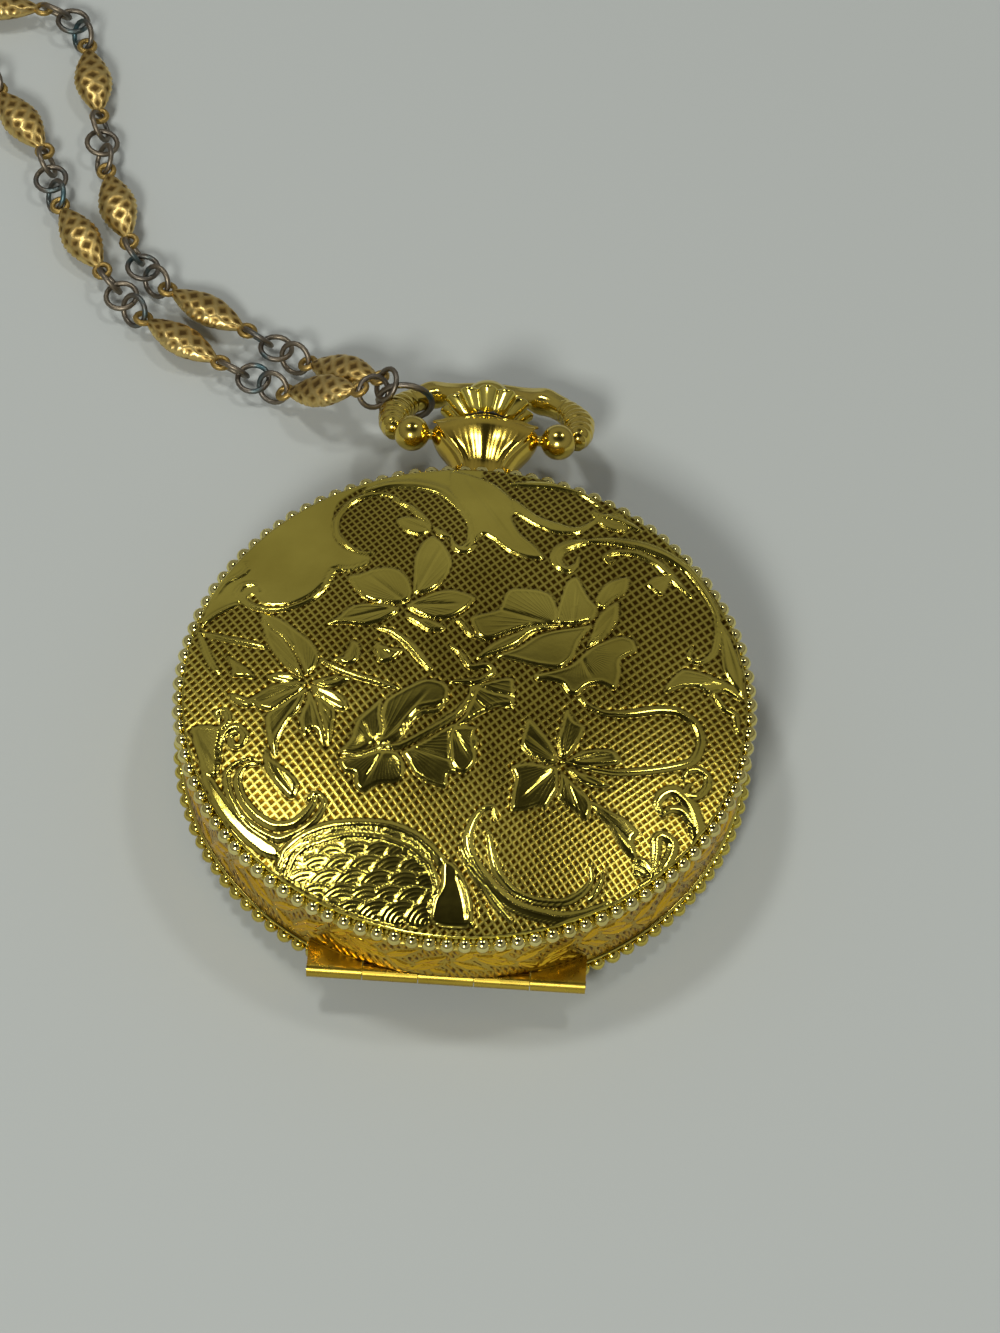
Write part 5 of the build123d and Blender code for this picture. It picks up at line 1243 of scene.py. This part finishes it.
arch = bow_arch()
arch_faces = flat(tube_faces(*arch.shape[:2]))
bow_parts = [make_piece("bow_arms", arch, arch_faces, "bow_body", bow_gold, outward=True)]
ball_up = np.linspace(0.02, np.pi - 0.02, 19)
for side, hand in ((-1, "left"), (1, "right")):
    ball_places = side * ball_at + ball_r * np.cos(ball_up)
    bow_parts.append(turned_part(f"bow_ball_{hand}", ball_places, ball_r * np.sin(ball_up), 28))
    bow_parts.append(turned_part(f"bow_stud_{hand}", side * np.array(stud_places), stud_r, 24))
for piece in bow_parts:
    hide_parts("bow")

# The dial: white enamel on copper, with black hour figures and a minute track. It faces
# the lid, so its figures are turned to be read from below.
dial_face_z = 2.35
figure_r = 10.6
figure_h = 3.0
figure_t = 0.006
track_r = 12.9
ink = new_material("black_enamel_ink", (0.015, 0.015, 0.02), roughness=0.35)
for hour in range(1, 13):
    text = bpy.data.curves.new(f"figure_{hour}", "FONT")
    text.body = str(hour)
    text.size = figure_h * mm
    text.align_x = "CENTER"
    text.align_y = "CENTER"
    text.extrude = figure_t * mm
    holder = link_object(f"figure_{hour}", text)
    bpy.context.view_layer.update()
    mesh = bpy.data.meshes.new_from_object(holder.evaluated_get(bpy.context.evaluated_depsgraph_get()))
    bpy.data.objects.remove(holder)
    x, y = on_circle(figure_r, 30.0 * hour + 90.0)
    place = Matrix.Translation(Vector((x, y, dial_face_z - 0.008)) * mm)
    mesh.transform(place @ Matrix.Rotation(math.pi, 4, "Y"))
    mesh.materials.clear()
    mesh.materials.append(ink)
    figure = link_object(f"dial_figure_{hour}", mesh)
    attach(figure, "case")
ticks = np.arange(60)
tick_l = np.where(ticks % 5 == 0, 0.75, 0.4)
tick_half_w = np.where(ticks % 5 == 0, 0.12, 0.05)
corner_r = track_r - np.stack([tick_l, tick_l, 0 * tick_l, 0 * tick_l], axis=1)
corner_s = np.stack([-tick_half_w, tick_half_w, tick_half_w, -tick_half_w], axis=1)
turn = np.radians(ticks * 6.0)[:, None]
x = corner_r * np.sin(turn) + corner_s * np.cos(turn)
y = corner_r * np.cos(turn) - corner_s * np.sin(turn)
tick_points = np.stack([np.stack([x, y, np.full_like(x, dial_face_z - depth)], axis=-1)
                        for depth in (0.014, 0.002)], axis=1)
tick_blocks = [block + 8 * ticks[:, None, None] for block in tube_faces(2, 4)]
minute_track = make_piece("dial_minute_track", tick_points, flat(b.reshape(-1, 4) for b in tick_blocks),
                          "case", ink, smooth=False, outward=True)

# The works and all plain metal: nickel plates with fine stripes, brass wheels turned and
# gilt, ground and blued steel, synthetic rubies, glass and rubber, as the solids give them.
def worked_metal(name, colour, roughness, grain, second_colour=None):
    """A metal with fine machining marks: bands across the piece vary its roughness a little."""
    made = new_material(name, colour, metallic=1.0, roughness=roughness)
    place = node(made, "ShaderNodeTexCoord")
    bands = node(made, "ShaderNodeTexWave", in_Scale=grain / mm, in_Distortion=0.6)
    wire(made, place.outputs["Object"], bands.inputs["Vector"])
    marks = spread(made, bands.outputs["Fac"], roughness * 0.75, roughness * 1.3)
    wire(made, marks, shader_input(made, "Roughness"))
    if second_colour is not None:
        mottle(made, 0.5, second_colour, 0.65, colour)
    return made


def mottle(material, scale, low_colour, high_place, high_colour):
    """Lets a material's colour wander between two, over soft patches."""
    tint = ramp(material, object_noise(material, scale), ((0.3, low_colour), (high_place, high_colour)))
    wire(material, tint, shader_input(material, "Base Color"))


steel = worked_metal("ground_steel", (0.55, 0.55, 0.56), 0.22, 2.2, (0.45, 0.44, 0.43))
blued = worked_metal("blued_steel", (0.04, 0.06, 0.22), 0.18, 1.5)
turned_brass = worked_metal("turned_brass", (0.72, 0.55, 0.22), 0.24, 1.8, (0.6, 0.43, 0.15))
nickel = worked_metal("striped_nickel", (0.66, 0.65, 0.61), 0.25, 0.35, (0.58, 0.57, 0.53))
enamel = new_material("white_enamel", (0.82, 0.81, 0.76), roughness=0.12)
mottle(enamel, 0.3, (0.78, 0.77, 0.72), 0.7, (0.83, 0.82, 0.77))
shader_input(enamel, "Coat Weight").default_value = 0.6
ruby = new_material("synthetic_ruby", (0.55, 0.02, 0.08), roughness=0.08)
mottle(ruby, 1.2, (0.42, 0.01, 0.06), 0.7, (0.6, 0.03, 0.1))
shader_input(ruby, "Coat Weight").default_value = 0.5
glass = new_material("clear_glass", (1.0, 1.0, 1.0), roughness=0.02)
shader_input(glass, "Transmission Weight").default_value = 1.0
shader_input(glass, "IOR").default_value = 1.5
wire(glass, spread(glass, object_noise(glass, 0.2), 0.01, 0.035), shader_input(glass, "Roughness"))
gasket = new_material("black_rubber", (0.02, 0.02, 0.02), roughness=0.7)
wire(gasket, spread(gasket, object_noise(gasket, 2.0), 0.6, 0.85), shader_input(gasket, "Roughness"))
finishes = {
    satin_gold: ("case_middle",),
    rim_gold: ("hinge_pin", "crystal_bezel"),
    steel: ("lid_lift_spring", "lid_lock_spring", "pendant_tube", "bridge_screws", "setting_lever",
            "sliding_clutch", "winding_stem", "winding_pinion", "crown_wheel", "ratchet_wheel", "click",
            "escape_wheel", "pallet_fork", "cannon_pinion"),
    blued: ("hairspring", "minute_hand", "hour_hand"),
    turned_brass: ("movement_ring", "mainspring_barrel", "centre_wheel", "third_wheel", "fourth_wheel",
                   "balance_wheel", "minute_wheel", "hour_wheel"),
    nickel: ("mainplate", "barrel_bridge", "train_bridge", "balance_cock"),
    enamel: ("dial",),
    ruby: ("jewels",),
    glass: ("crystal",),
    gasket: ("crown_gasket",),
}
for finish, names in finishes.items():
    for name in names:
        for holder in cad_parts[name].material_slots:
            holder.material = finish
